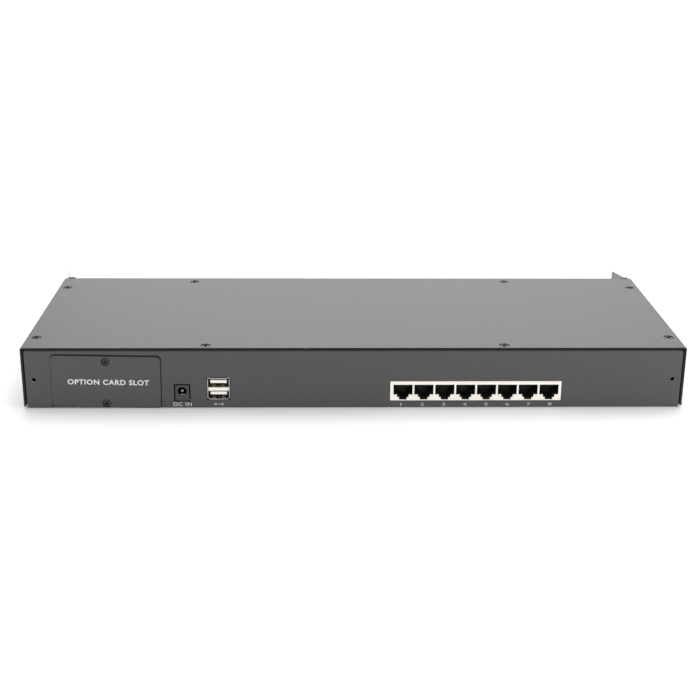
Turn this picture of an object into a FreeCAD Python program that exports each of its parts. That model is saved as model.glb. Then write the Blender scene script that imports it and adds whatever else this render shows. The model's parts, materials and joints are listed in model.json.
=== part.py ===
import FreeCAD, Part
import math
import os
import re
import Sketcher

# One-unit rack keyboard-video-mouse switch module, 440 mm wide.
# Millimetres. X runs along the port panel, -Y is the side with the ports, +Y the side that
# faces the console drawer, +Z is up. The origin is the middle of the bottom face.

DIMENSIONS = {
    # folded sheet-steel case
    "body_width": 440.0, "body_depth": 160.0, "body_height": 42.5, "sheet": 1.2, "bend": 1.2,
    "side_gap": 1.0, "top_gap": 0.8, "cover_foot": 1.3, "panel_recess": 0.3, "front_step": 0.1,
    "rear_lip": 11.0, "front_lip": 15.0, "side_lip": 11.5,
    # M3 fasteners: clearance and tapped holes, countersunk and pan heads
    "thread_hole": 3.2, "shank": 3.0, "clear_hole": 3.6, "flat_head": 5.4, "flat_sink": 6.6,
    "plate_head": 4.6, "plate_sink": 5.4, "head_drop": 0.3, "head_crown": 0.25, "screw_tip": 0.4,
    "recess_span": 0.64, "recess_blade": 0.26, "recess_deep": 1.0,
    # how far a cutting tool runs past the surface that it cuts
    "overrun": 1.0,
    "screw_length": 6.0, "plate_screw_length": 5.0, "board_screw_length": 3.0, "bracket_screw_length": 5.0,
    "pan_head": 5.5, "pan_height": 1.8, "pan_round": 0.7, "pan_shank": 2.96,
    # places of the cover screws
    "rear_screw_side": 99.0, "rear_screw_inset": 5.0,
    "front_screw_side": 119.0, "front_screw_inset": 9.5,
    "side_screw_inset": 7.0, "side_screw_rear": 21.0, "side_screw_front": 25.0,
    # port panel: end holes, then the ganged network-style jacks
    "end_hole_side": 212.4, "end_hole_height": 20.0, "end_hole": 3.0, "port_gap": 0.4, "power_gap": 0.8,
    "jacks_left": 23.3, "jacks_width": 114.7, "jacks_height": 13.7, "jacks_depth": 18.0,
    "jack_first": 31.9, "jack_pitch": 13.97, "jack_mouth": 12.8, "jack_deep": 14.0, "jack_roof": 16.4,
    "jack_floor": 9.3, "latch_wide": 7.7, "latch_floor": 7.4, "clip_wide": 5.0, "clip_floor": 5.7,
    "jack_edge": 0.4, "jack_rim": 0.7, "jack_lining": 0.4,
    "wire": 0.44, "wire_pitch": 1.02, "wire_thick": 0.3,
    "wire_start": 2.6, "wire_drop": 2.3, "wire_tail": 4.0, "wire_back_gap": 0.05,
    # stacked pair of type A sockets
    "usb_left": -98.3, "usb_wide": 15.0, "usb_bottom": 6.1, "usb_tall": 15.3, "usb_long": 17.6,
    "usb_skin": 0.6, "usb_liner": 0.3, "usb_round": 0.7, "usb_back": 3.0, "usb_inset": 0.5,
    "usb_middle_low": 12.0, "usb_middle_high": 14.8, "usb_notch": 1.2, "usb_notch_deep": 1.6,
    "tongue_wide": 10.7, "tongue_thick": 1.9, "tongue_inset": 0.8,
    "upper_tongue": 17.6, "lower_tongue": 9.5,
    "strip": 1.0, "strip_thick": 0.25, "strip_long": 12.0, "strip_inset": 2.0, "seat_inset": 1.0,
    # low-voltage power socket
    "power_middle": -115.0, "power_wide": 9.4, "power_bottom": 5.4, "power_tall": 10.8, "power_long": 14.0,
    "power_hole": 6.2, "power_hole_height": 11.8, "power_hole_deep": 10.0, "power_edge": 0.4,
    "power_inset": 0.1,
    "power_pin": 2.0, "power_pin_inset": 1.4, "power_pin_round": 0.5,
    "leaf_wide": 3.4, "leaf_thick": 0.45, "leaf_rise": 0.9,
    "leaf_start": 0.7, "leaf_crest": 4.0, "leaf_end": 9.9,
    # expansion bay
    "plate_middle_x": -165.0, "plate_middle_z": 18.6, "plate_wide": 71.9, "plate_tall": 35.9,
    "plate_corner": 2.5, "plate_skew": 1.0, "plate_back_gap": 0.2,
    "plate_gap_top": 1.2, "plate_gap_side": 0.7, "plate_gap_left": 0.15, "opening_corner": 2.8,
    "plate_screw_up": 14.2, "plate_screw_down": -15.2, "bay_thread": 3.8,
    "bay_left": -207.0, "bay_right": -123.0, "bay_open_left": -197.0, "bay_open_right": -133.0,
    "bay_open_low": 7.0, "bay_open_high": 29.5, "bay_long": 56.0,
    "socket_long": 52.0, "socket_deep": 8.5, "socket_hole": 0.9, "socket_hole_deep": 7.0,
    "pin": 0.5, "pin_long": 6.0, "pin_inset": 1.0, "pin_pitch": 2.54, "pin_low": 3.0,
    # circuit board and its fixings
    "board_bottom": 3.4, "board_thick": 1.6, "board_left": -206.0, "board_right": 206.0,
    "board_rear": -77.0, "board_front": 70.0, "board_bay_edge": -121.5, "board_bay_rear": -14.0,
    "stud": 5.5, "stud_bore": 3.1, "stud_floor": 0.4,
    # packages on the board
    "receiver_wide": 7.0, "receiver_long": 9.0, "receiver_tall": 1.6, "receiver_row": -50.0,
    "switch_side": 12.0, "switch_tall": 1.4, "crosspoint_side": 24.0, "crosspoint_tall": 2.0,
    "processor_side": 20.0, "processor_tall": 1.8,
    "memory_wide": 10.0, "memory_long": 20.0, "memory_tall": 1.4,
    "driver_side": 9.0, "driver_tall": 1.4, "coil_side": 10.0, "coil_tall": 4.6,
    "can": 8.0, "can_tall": 9.5, "can_round": 0.6, "can_base": 8.4, "can_base_tall": 0.3,
    "crystal_wide": 11.0, "crystal_deep": 4.6, "crystal_tall": 3.4, "crystal_round": 2.2,
    "crosspoint_x": 80.0, "crosspoint_y": 18.0, "sink_side": 26.0, "sink_tall": 8.0,
    "sink_slot": 2.0, "sink_slot_deep": 6.0, "sink_pitch": 3.5, "sink_edge": 1.5,
    # console connector on the far wall
    "console_middle_z": 11.6, "console_flange": 30.8, "console_flange_thick": 0.8, "console_tall": 12.4,
    "console_hood": 17.0, "console_hood_tall": 8.6, "console_out": 5.9, "console_skin": 0.6,
    "console_taper": 1.5, "hood_round": 1.6, "core_round": 1.0,
    "console_cut_side": 0.5, "console_cut_up": 0.4,
    "core_lead": 1.0, "core_short": 0.4, "core_tail": 7.0, "core_tail_tall": 12.0,
    "contact": 1.2, "contact_bore": 0.8, "contact_long": 9.0, "contact_back": 5.0, "contact_pitch": 2.29,
    "contact_row": 1.98, "contact_stagger": 0.8, "contact_floor": 1.0,
    "console_nut_side": 12.5, "nut_across": 5.5, "nut_long": 5.0, "nut_thread": 2.4,
    # forward mounting arms
    "arm_side": 217.2, "arm_thick": 1.0, "arm_long": 21.0, "arm_top": 42.3, "arm_low": 8.0,
    "arm_round": 3.0, "left_lean": 10.0, "right_lean": 20.0,
    "arm_foot": 11.0, "foot_top": 39.3, "foot_stub": 5.4, "stub_top": 43.2,
    "arm_hole": 4.4, "arm_hole_height": 25.0, "arm_hole_out": 11.0, "bracket_screw_side": 210.0,
    "lower_bracket_screw": 14.0, "upper_bracket_screw": 34.0,
}

doc = FreeCAD.newDocument("kvm_switch")
sheet = doc.addObject("Spreadsheet::Sheet", "dims")
for row, (alias, number) in enumerate(DIMENSIONS.items(), start=1):
    sheet.set(f"A{row}", alias)
    sheet.set(f"B{row}", str(number))
    sheet.setAlias(f"B{row}", alias)
doc.recompute()

nodes = {}


def size(alias):
    """A driving dimension, read back from the sheet."""
    return float(getattr(sheet, alias))


def bind(thing, prop, formula):
    """Tie one property to the sheet; every word in a formula, bar sqrt, is an alias of the sheet."""
    aliased = re.sub(r"\b(?!sqrt\b)[a-z]\w*", lambda word: "dims." + word.group(), str(formula))
    thing.setExpression(prop, aliased)


def keep(name, thing):
    """Make a finished piece one of the assembly's nodes."""
    thing.Label = name
    nodes[name] = thing
    return thing


# ---- primitives and booleans, bound to the sheet

def box(name, corner, lengths):
    piece = doc.addObject("Part::Box", name)
    for prop, formula in zip(("Length", "Width", "Height"), lengths):
        bind(piece, prop, formula)
    for axis, formula in zip("xyz", corner):
        bind(piece, "Placement.Base." + axis, formula)
    return piece


def rod(name, centre, diameter, length, axis="z"):
    """A cylinder that starts at centre and runs along +Z, or +Y for axis y."""
    piece = doc.addObject("Part::Cylinder", name)
    if axis == "y":
        piece.Placement = FreeCAD.Placement(FreeCAD.Vector(), FreeCAD.Rotation(FreeCAD.Vector(1, 0, 0), -90))
    bind(piece, "Radius", f"({diameter}) / 2")
    bind(piece, "Height", length)
    for direction, formula in zip("xyz", centre):
        bind(piece, "Placement.Base." + direction, formula)
    return piece


def join(name, pieces):
    result = doc.addObject("Part::MultiFuse", name)
    result.Shapes = pieces
    return result


def cut(name, base, tool):
    result = doc.addObject("Part::Cut", name)
    result.Base = base
    result.Tool = tool
    return result


def dress(kind, name, base, amount, chosen):
    """Round or chamfer the edges of a finished primitive for which chosen(edge) is true."""
    doc.recompute()
    result = doc.addObject(kind, name)
    result.Base = base
    picked = [number for number, edge in enumerate(base.Shape.Edges, start=1) if chosen(edge)]
    result.Edges = [(number, amount, amount) for number in picked]
    return result


def soften(name, base, radius, chosen):
    return dress("Part::Fillet", name, base, radius, chosen)


def compound(name, pieces):
    """One node that gathers several separate pieces of the document."""
    result = doc.addObject("Part::Compound", name)
    result.Links = pieces
    return keep(name, result)


def group(name, solids):
    """One node that holds several separate, like solids."""
    piece = doc.addObject("Part::Feature", name)
    piece.Shape = Part.makeCompound(solids)
    return keep(name, piece)


# ---- part-design bodies with sketches

def new_body(name):
    return keep(name, doc.addObject("PartDesign::Body", name))


def sketch_on(body, name, role, offset):
    plane = next(item for item in body.Origin.OriginFeatures if item.Role == role)
    sketch = body.newObject("Sketcher::SketchObject", name)
    sketch.AttachmentSupport = (plane, [""])
    sketch.MapMode = "FlatFace"
    bind(sketch, "AttachmentOffset.Base.z", offset)
    return sketch


def add_polygon(sketch, corners):
    """Straight outline; every corner's two coordinates are dimensions bound to the sheet."""
    start = sketch.GeometryCount
    count = len(corners)
    for turn in range(count):
        angle = 2 * math.pi * turn / count
        following = 2 * math.pi * (turn + 1) / count
        tail = FreeCAD.Vector(math.cos(angle), math.sin(angle), 0)
        head = FreeCAD.Vector(math.cos(following), math.sin(following), 0)
        sketch.addGeometry(Part.LineSegment(tail, head))
    for turn in range(count):
        line = start + turn
        sketch.addConstraint(Sketcher.Constraint("Coincident", line, 2, start + (turn + 1) % count, 1))
    for turn, corner in enumerate(corners):
        for kind, formula in zip(("DistanceX", "DistanceY"), corner):
            number = sketch.addConstraint(Sketcher.Constraint(kind, -1, 1, start + turn, 1, 1.0))
            bind(sketch, f"Constraints[{number}]", formula)


def add_rectangle(sketch, left, bottom, right, top):
    add_polygon(sketch, [(left, bottom), (right, bottom), (right, top), (left, top)])


def add_circle(sketch, across, up, diameter):
    line = sketch.addGeometry(Part.Circle(FreeCAD.Vector(0, 0, 0), FreeCAD.Vector(0, 0, 1), 1.0))
    for kind, formula in (("DistanceX", across), ("DistanceY", up)):
        number = sketch.addConstraint(Sketcher.Constraint(kind, -1, 1, line, 3, 1.0))
        bind(sketch, f"Constraints[{number}]", formula)
    number = sketch.addConstraint(Sketcher.Constraint("Diameter", line, 2.0))
    bind(sketch, f"Constraints[{number}]", diameter)


def pad(body, sketch, length):
    feature = body.newObject("PartDesign::Pad", sketch.Name + "_pad")
    feature.Profile = sketch
    bind(feature, "Length", length)
    return feature


def pocket(body, sketch, length):
    feature = body.newObject("PartDesign::Pocket", sketch.Name + "_pocket")
    feature.Profile = sketch
    bind(feature, "Length", length)
    return feature


def countersink(body, centres, sink):
    """Countersunk clearance holes through the sheet, at the circles of a sketch."""
    doc.recompute()
    holes = body.newObject("PartDesign::Hole", centres.Name + "_holes")
    holes.Profile = centres
    holes.DepthType = "ThroughAll"
    holes.HoleCutType = "Countersink"
    holes.HoleCutCustomValues = True
    holes.HoleCutCountersinkAngle = 90
    bind(holes, "Diameter", "clear_hole")
    bind(holes, "HoleCutDiameter", sink)


def round_edges(body, base, radius, chosen):
    doc.recompute()
    feature = body.newObject("PartDesign::Fillet", base.Name + "_fillet")
    picked = [f"Edge{number}" for number, edge in enumerate(base.Shape.Edges, start=1) if chosen(edge)]
    feature.Base = (base, picked)
    bind(feature, "Radius", radius)
    return feature


def repeat(body, name, features, sketch, count, length):
    """Repeat features along the sketch's horizontal axis."""
    row = body.newObject("PartDesign::LinearPattern", name)
    row.Originals = features
    row.Direction = (sketch, ["H_Axis"])
    row.Occurrences = count
    bind(row, "Length", length)
    body.Tip = row


def lies_along(edge, axis):
    """True for a straight edge that runs along the given axis, 0, 1 or 2."""
    spans = (edge.BoundBox.XLength, edge.BoundBox.YLength, edge.BoundBox.ZLength)
    return all(span < 1e-6 for place, span in enumerate(spans) if place != axis)


# ---- places that several pieces share

PANEL_DEPTH = "body_depth / 2 - panel_recess"
PANEL_Y = f"-({PANEL_DEPTH})"
WALL_Y = "-(body_depth / 2 - panel_recess - sheet)"
FRONT_Y = "body_depth / 2 + front_step"
MOUTH_Y = "-body_depth / 2"
WALL_X = "body_width / 2 - sheet - side_gap"
LIP_TOP = "body_height - sheet - top_gap"
BOARD_TOP = "board_bottom + board_thick"

half_width = size("body_width") / 2
half_depth = size("body_depth") / 2
lip_top = size("body_height") - size("sheet") - size("top_gap")
board_top = size("board_bottom") + size("board_thick")
front_face = half_depth + size("front_step")

COVER_SCREWS = []
for sign in ("-", ""):
    COVER_SCREWS.append((sign + "rear_screw_side", "-(body_depth / 2 - rear_screw_inset)"))
    COVER_SCREWS.append((sign + "front_screw_side", "body_depth / 2 - front_screw_inset"))
    COVER_SCREWS.append((sign + "(body_width / 2 - side_screw_inset)", "-(body_depth / 2 - side_screw_rear)"))
    COVER_SCREWS.append((sign + "(body_width / 2 - side_screw_inset)", "body_depth / 2 - side_screw_front"))

side_screw_x = half_width - size("side_screw_inset")
cover_screw_places = []
for sign in (-1, 1):
    cover_screw_places.append((sign * size("rear_screw_side"), size("rear_screw_inset") - half_depth))
    cover_screw_places.append((sign * size("front_screw_side"), half_depth - size("front_screw_inset")))
    cover_screw_places.append((sign * side_screw_x, size("side_screw_rear") - half_depth))
    cover_screw_places.append((sign * side_screw_x, half_depth - size("side_screw_front")))

# Places on the board, as X and Y of each middle.
BOARD_STUDS = [(-198, 62), (-100, 62), (40, 62), (198, 62), (-198, 0), (-60, -20), (150, -20), (198, -70)]
SWITCHES = [(40, -22), (80, -22), (120, -22)]
PROCESSOR = [(-20, 10)]
MEMORY = [(10, 10), (-52, 10)]
CONSOLE_DRIVER = [(0, 44)]
COILS = [(-100, -44), (-84, -44), (-100, -6)]
CANS = [(-114, -28), (-104, -28), (-94, -28), (-84, -28), (-70, -44)]
CRYSTAL_X, CRYSTAL_Y = -20.5, 32.3

BRACKET_SCREWS = ("lower_bracket_screw", "upper_bracket_screw")
JACK_COUNT = 8
WIRE_COUNT = 8
USB_STRIPS = (-3.5, -1.0, 1.0, 3.5)
SOCKET_COLUMNS = 20
SOCKET_ROWS = 2
SINK_SLOTS = 7
CONSOLE_GRID = [(row, column) for row in (-1, 0, 1) for column in (-2, -1, 0, 1, 2)]
jack_middles = [size("jack_first") + jack * size("jack_pitch") for jack in range(JACK_COUNT)]


# ---- folded chassis: floor, four walls and the inward lips that the cover screws into

def chassis_base():
    body = new_body("chassis_base")
    outline = sketch_on(body, "chassis_outline", "XY_Plane", "0")
    add_rectangle(outline, f"-({WALL_X})", PANEL_Y, WALL_X, FRONT_Y)
    block = pad(body, outline, LIP_TOP)
    round_edges(body, block, "bend", lambda edge: not lies_along(edge, 2))

    hollow = sketch_on(body, "chassis_hollow", "XY_Plane", f"{LIP_TOP} - sheet")
    add_rectangle(hollow, f"sheet - ({WALL_X})", WALL_Y, f"{WALL_X} - sheet", f"{FRONT_Y} - sheet")
    pocket(body, hollow, f"{LIP_TOP} - 2 * sheet")

    window = sketch_on(body, "lip_window", "XY_Plane", LIP_TOP)
    add_rectangle(window, f"side_lip - ({WALL_X})", f"{PANEL_Y} + rear_lip",
                  f"{WALL_X} - side_lip", f"{FRONT_Y} - front_lip")
    pocket(body, window, "2 * sheet")

    threads = sketch_on(body, "lip_threads", "XY_Plane", LIP_TOP)
    for across, along in COVER_SCREWS:
        add_circle(threads, across, along, "thread_hole")
    pocket(body, threads, "2 * sheet")

    ports = sketch_on(body, "port_cutouts", "XZ_Plane", PANEL_DEPTH)
    add_rectangle(ports, "jacks_left - port_gap", f"{BOARD_TOP} - port_gap",
                  "jacks_left + jacks_width + port_gap", f"{BOARD_TOP} + jacks_height + port_gap")
    add_rectangle(ports, "usb_left - port_gap", "usb_bottom - port_gap",
                  "usb_left + usb_wide + port_gap", "usb_bottom + usb_tall + port_gap")
    add_rectangle(ports, "power_middle - power_wide / 2 - power_gap", "power_bottom - power_gap",
                  "power_middle + power_wide / 2 + power_gap", "power_bottom + power_tall + power_gap")
    for sign in ("-", ""):
        add_circle(ports, sign + "end_hole_side", "end_hole_height", "end_hole")
    pocket(body, ports, "1.2 * sheet")

    # The bay opening follows the plate's slight skew and is open at the bottom edge.
    tilt = math.tan(math.radians(size("plate_skew")))
    left, right = "(plate_wide / 2 + plate_gap_left)", "(plate_wide / 2 + plate_gap_side)"
    low, high = "(plate_middle_z + sheet)", "(plate_tall / 2 + plate_gap_top)"
    bay = sketch_on(body, "bay_opening", "XZ_Plane", PANEL_DEPTH)
    add_polygon(bay, [
        (f"plate_middle_x - {left} - {tilt} * {low}", f"plate_middle_z - {low} + {tilt} * {left}"),
        (f"plate_middle_x + {right} - {tilt} * {low}", f"plate_middle_z - {low} - {tilt} * {right}"),
        (f"plate_middle_x + {right} + {tilt} * {high}", f"plate_middle_z + {high} - {tilt} * {right}"),
        (f"plate_middle_x - {left} + {tilt} * {high}", f"plate_middle_z + {high} + {tilt} * {left}")])
    opening = pocket(body, bay, "1.1 * sheet")
    plate_top = size("plate_middle_z") + size("plate_tall") / 2
    plate_end = size("plate_middle_x") + size("plate_wide") / 2 + 2 * size("plate_gap_side")
    round_edges(body, opening, "opening_corner", lambda edge: lies_along(edge, 1)
                and plate_top < edge.BoundBox.ZMin < lip_top - size("sheet")
                and edge.BoundBox.XMax < plate_end and edge.Length < 2 * size("sheet"))

    # Cut-outs in the far wall for the console connector, its two nuts and the arm screws.
    console = sketch_on(body, "console_cutouts", "XZ_Plane", f"sheet - ({FRONT_Y})")
    half_wide = "(console_hood / 2 + console_cut_side)"
    half_tall = "(console_hood_tall / 2 + console_cut_up)"
    add_rectangle(console, f"-{half_wide}", f"console_middle_z - {half_tall}",
                  half_wide, f"console_middle_z + {half_tall}")
    for sign in ("-", ""):
        add_circle(console, sign + "console_nut_side", "console_middle_z", "thread_hole")
        for height in BRACKET_SCREWS:
            add_circle(console, sign + "bracket_screw_side", height, "thread_hole")
    pocket(body, console, "1.2 * sheet")


def top_cover():
    body = new_body("top_cover")
    outline = sketch_on(body, "cover_outline", "XY_Plane", "cover_foot")
    add_rectangle(outline, "-body_width / 2", "-body_depth / 2", "body_width / 2", "body_depth / 2")
    block = pad(body, outline, "body_height - cover_foot")
    round_edges(body, block, "bend", lambda edge: lies_along(edge, 1) and edge.BoundBox.ZMin > board_top)
    channel = sketch_on(body, "cover_channel", "XZ_Plane", "body_depth / 2")
    add_rectangle(channel, "sheet - body_width / 2", "0", "body_width / 2 - sheet", "body_height - sheet")
    pocket(body, channel, "body_depth")
    doc.recompute()
    centres = sketch_on(body, "cover_screw_centres", "XY_Plane", "body_height")
    for across, along in COVER_SCREWS:
        add_circle(centres, across, along, "clear_hole")
    countersink(body, centres, "flat_sink")


# ---- fasteners

def cross_recess(radius, top):
    """Cross-shaped driver recess whose mouth is at height top."""
    reach, blade, depth = size("recess_span") * radius, size("recess_blade") * radius, size("recess_deep")
    first = Part.makeBox(2 * reach, 2 * blade, depth, FreeCAD.Vector(-reach, -blade, top - depth))
    second = Part.makeBox(2 * blade, 2 * reach, depth, FreeCAD.Vector(-blade, -reach, top - depth))
    return first.fuse(second)


def flat_screw(head, length):
    """Countersunk screw with a low crown and a cross recess: rim of the head at Z 0, pointing down."""
    radius, shank, tip, crown = head / 2, size("shank") / 2, size("screw_tip"), size("head_crown")
    ball = (radius ** 2 + crown ** 2) / (2 * crown)
    axis_top = FreeCAD.Vector(0, 0, crown)
    shoulder = FreeCAD.Vector(radius / 2, 0, crown - ball + math.sqrt(ball ** 2 - radius ** 2 / 4))
    profile = [(radius, 0), (shank, shank - radius), (shank, tip - length), (shank - tip, -length),
               (0, -length)]
    corners = [FreeCAD.Vector(reach, 0, height) for reach, height in profile]
    edges = [Part.Arc(axis_top, shoulder, corners[0]).toShape()]
    edges += [Part.makeLine(start, end) for start, end in zip(corners, corners[1:] + [axis_top])]
    screw = Part.Face(Part.Wire(edges)).revolve(FreeCAD.Vector(), FreeCAD.Vector(0, 0, 1), 360)
    return screw.cut(cross_recess(radius, crown))


def pan_screw(length):
    """Pan-head cross-recess screw, seat of the head at Z 0 and pointing down."""
    radius, tall = size("pan_head") / 2, size("pan_height")
    head = Part.makeCylinder(radius, tall)
    crown = [edge for edge in head.Edges if edge.BoundBox.ZMin > tall / 2 and edge.BoundBox.XLength > radius]
    head = head.makeFillet(size("pan_round"), crown)
    stem = Part.makeCylinder(size("pan_shank") / 2, length, FreeCAD.Vector(0, 0, -length))
    return head.fuse(stem).removeSplitter().cut(cross_recess(radius, tall))


def placed(shape, place, turn_axis=None, turn=0.0):
    """A copy of a shape, turned about its own origin and moved to a place."""
    copy = shape.copy()
    if turn_axis:
        copy.rotate(FreeCAD.Vector(), FreeCAD.Vector(*turn_axis), turn)
    copy.translate(FreeCAD.Vector(*place))
    return copy


def cover_screws():
    screw = flat_screw(size("flat_head"), size("screw_length"))
    top = size("body_height") - size("head_drop")
    turns = [(place, 37.0 * number) for number, place in enumerate(cover_screw_places)]
    group("cover_screws", [placed(screw, (*place, top), (0, 0, 1), turn) for place, turn in turns])


def board_screws():
    screw = pan_screw(size("board_screw_length"))
    group("board_screws", [placed(screw, (across, along, board_top)) for across, along in BOARD_STUDS])


# ---- expansion bay: blank plate, its screws, and the folded bay frame behind it

def plate_point(across, up):
    """A place on the skewed blank plate, from its middle, in the object's X and Z."""
    skew = math.radians(size("plate_skew"))
    run = across * math.cos(skew) + up * math.sin(skew)
    rise = up * math.cos(skew) - across * math.sin(skew)
    return size("plate_middle_x") + run, size("plate_middle_z") + rise


def blank_plate():
    body = new_body("blank_plate")
    outline = sketch_on(body, "plate_outline", "XZ_Plane", "0")
    add_rectangle(outline, "-plate_wide / 2", "-plate_tall / 2", "plate_wide / 2", "plate_tall / 2")
    slab = pad(body, outline, "sheet")
    round_edges(body, slab, "plate_corner", lambda edge: lies_along(edge, 1))
    centres = sketch_on(body, "plate_screw_centres", "XZ_Plane", "sheet")
    for height in ("plate_screw_up", "plate_screw_down"):
        add_circle(centres, "0", height, "clear_hole")
    countersink(body, centres, "plate_sink")
    turn = FreeCAD.Rotation(FreeCAD.Vector(0, 1, 0), size("plate_skew"))
    body.Placement = FreeCAD.Placement(FreeCAD.Vector(), turn)
    bind(body, "Placement.Base.x", "plate_middle_x")
    bind(body, "Placement.Base.y", f"{WALL_Y} - plate_back_gap")
    bind(body, "Placement.Base.z", "plate_middle_z")


def blank_plate_screws():
    screw = flat_screw(size("plate_head"), size("plate_screw_length"))
    face = size("panel_recess") - half_depth - size("plate_back_gap") + size("head_drop")
    screws = []
    for up, turn in ((size("plate_screw_up"), 0.0), (size("plate_screw_down"), 42.0)):
        across, height = plate_point(0, up)
        turned = placed(screw, (0, 0, 0), (0, 0, 1), turn)
        screws.append(placed(turned, (across, face, height), (1, 0, 0), 90))
    group("blank_plate_screws", screws)


def bay_frame():
    """Folded frame: a face behind the panel and two side walls that guide the option card."""
    open_wide = "bay_open_right - bay_open_left"
    open_tall = "bay_open_high - bay_open_low"
    face = box("bay_face", ("bay_left", WALL_Y, "sheet"),
               ("bay_right - bay_left", "sheet", f"{LIP_TOP} - 2 * sheet"))
    holes = [box("bay_window", ("bay_open_left", f"{WALL_Y} - sheet", "bay_open_low"),
                 (open_wide, "3 * sheet", open_tall))]
    for level in ("plate_screw_up", "plate_screw_down"):
        centre = ("plate_middle_x", f"{WALL_Y} - sheet", f"plate_middle_z + {level}")
        holes.append(rod("bay_thread_" + level, centre, "bay_thread", "3 * sheet", "y"))
    folded = [cut("bay_pierced", face, join("bay_holes", holes))]
    for side, wall, ledge in (("left", "bay_open_left - sheet", "bay_open_left - sheet"),
                              ("right", "bay_open_right", "bay_open_right - 4 * sheet")):
        folded.append(box("bay_wall_" + side, (wall, WALL_Y, "bay_open_low"),
                          ("sheet", "bay_long", open_tall)))
        folded.append(box("bay_ledge_" + side, (ledge, WALL_Y, "bay_open_low - sheet"),
                          ("5 * sheet", "bay_long", "sheet")))
    keep("bay_frame", join("bay_frame", folded))


def bay_socket():
    """Two-row socket on the board's edge that an option card plugs into, and its pins."""
    body = new_body("bay_socket")
    outline = sketch_on(body, "socket_outline", "XY_Plane", BOARD_TOP)
    add_rectangle(outline, "plate_middle_x - socket_long / 2", "board_bay_rear",
                  "plate_middle_x + socket_long / 2", "board_bay_rear + socket_deep")
    pad(body, outline, "socket_deep")
    first = f"(plate_middle_x - {(SOCKET_COLUMNS - 1) / 2} * pin_pitch)"
    holes = sketch_on(body, "socket_holes", "XZ_Plane", "-board_bay_rear")
    for row in range(SOCKET_ROWS):
        height = f"({BOARD_TOP} + pin_low + {row} * pin_pitch)"
        add_rectangle(holes, f"{first} - socket_hole / 2", f"{height} - socket_hole / 2",
                      f"{first} + socket_hole / 2", f"{height} + socket_hole / 2")
    opening = pocket(body, holes, "socket_hole_deep")
    repeat(body, "socket_columns", [opening], holes, SOCKET_COLUMNS, f"{SOCKET_COLUMNS - 1} * pin_pitch")

    half = size("pin") / 2
    pins = []
    for column in range(SOCKET_COLUMNS):
        across = size("plate_middle_x") + (column - (SOCKET_COLUMNS - 1) / 2) * size("pin_pitch")
        for row in range(SOCKET_ROWS):
            height = board_top + size("pin_low") + row * size("pin_pitch")
            corner = FreeCAD.Vector(across - half, size("board_bay_rear") + size("pin_inset"), height - half)
            pins.append(Part.makeBox(2 * half, size("pin_long"), 2 * half, corner))
    group("bay_socket_contacts", pins)


# ---- network-style jacks: one ganged housing with eight stepped mouths and their linings

MOUTH_STEPS = [("jack_mouth", "jack_roof", "+"), ("jack_mouth", "jack_floor", "-"),
               ("latch_wide", "jack_floor", "-"), ("latch_wide", "latch_floor", "-"),
               ("clip_wide", "latch_floor", "-"), ("clip_wide", "clip_floor", "-")]


def jack_outline(spare):
    """Corners of one stepped mouth, from its own middle, opened out by a margin on every side."""
    steps = [(f"({wide} / 2 + {spare})", f"{height} {side} {spare}") for wide, height, side in MOUTH_STEPS]
    return [("-" + reach, height) for reach, height in steps] + steps[::-1]


def rj45_housing():
    body = new_body("rj45_housing")
    outline = sketch_on(body, "jacks_outline", "XY_Plane", BOARD_TOP)
    add_rectangle(outline, "jacks_left", MOUTH_Y, "jacks_left + jacks_width", f"{MOUTH_Y} + jacks_depth")
    block = pad(body, outline, "jacks_height")
    round_edges(body, block, "jack_edge", lambda edge: edge.BoundBox.YMax < 0.01 - half_depth)
    mouth = sketch_on(body, "jack_mouth_outline", "XZ_Plane", "body_depth / 2")
    add_polygon(mouth, [(f"jack_first + {across}", height) for across, height in jack_outline("0")])
    opening = pocket(body, mouth, "jack_rim")
    seat = sketch_on(body, "jack_seat_outline", "XZ_Plane", "body_depth / 2 - jack_rim")
    add_polygon(seat, [(f"jack_first + {across}", height) for across, height in jack_outline("jack_lining")])
    cavity = pocket(body, seat, "jack_deep + jack_lining - jack_rim")
    repeat(body, "jack_row", [opening, cavity], mouth, JACK_COUNT, f"{JACK_COUNT - 1} * jack_pitch")


def mouth_prism(spare, start, length):
    """Solid of one jack's stepped mouth, about X 0, from the sheet's own sizes."""
    steps = [(size(wide) / 2 + spare, size(height) + (spare if side == "+" else -spare))
             for wide, height, side in MOUTH_STEPS]
    left = [FreeCAD.Vector(-reach, start, height) for reach, height in steps]
    right = [FreeCAD.Vector(reach, start, height) for reach, height in reversed(steps)]
    return Part.Face(Part.makePolygon(left + right + left[:1])).extrude(FreeCAD.Vector(0, length, 0))


def rj45_inserts():
    """Black moulded lining of each jack, closed at the back, which carries the contacts."""
    lining, rim, overrun = size("jack_lining"), size("jack_rim"), size("overrun")
    start = rim - half_depth
    sleeve = mouth_prism(lining, start, size("jack_deep") + lining - rim)
    sleeve = sleeve.cut(mouth_prism(0.0, start - overrun, size("jack_deep") - rim + overrun))
    group("rj45_inserts", [placed(sleeve, (middle, 0, 0)) for middle in jack_middles])


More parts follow.
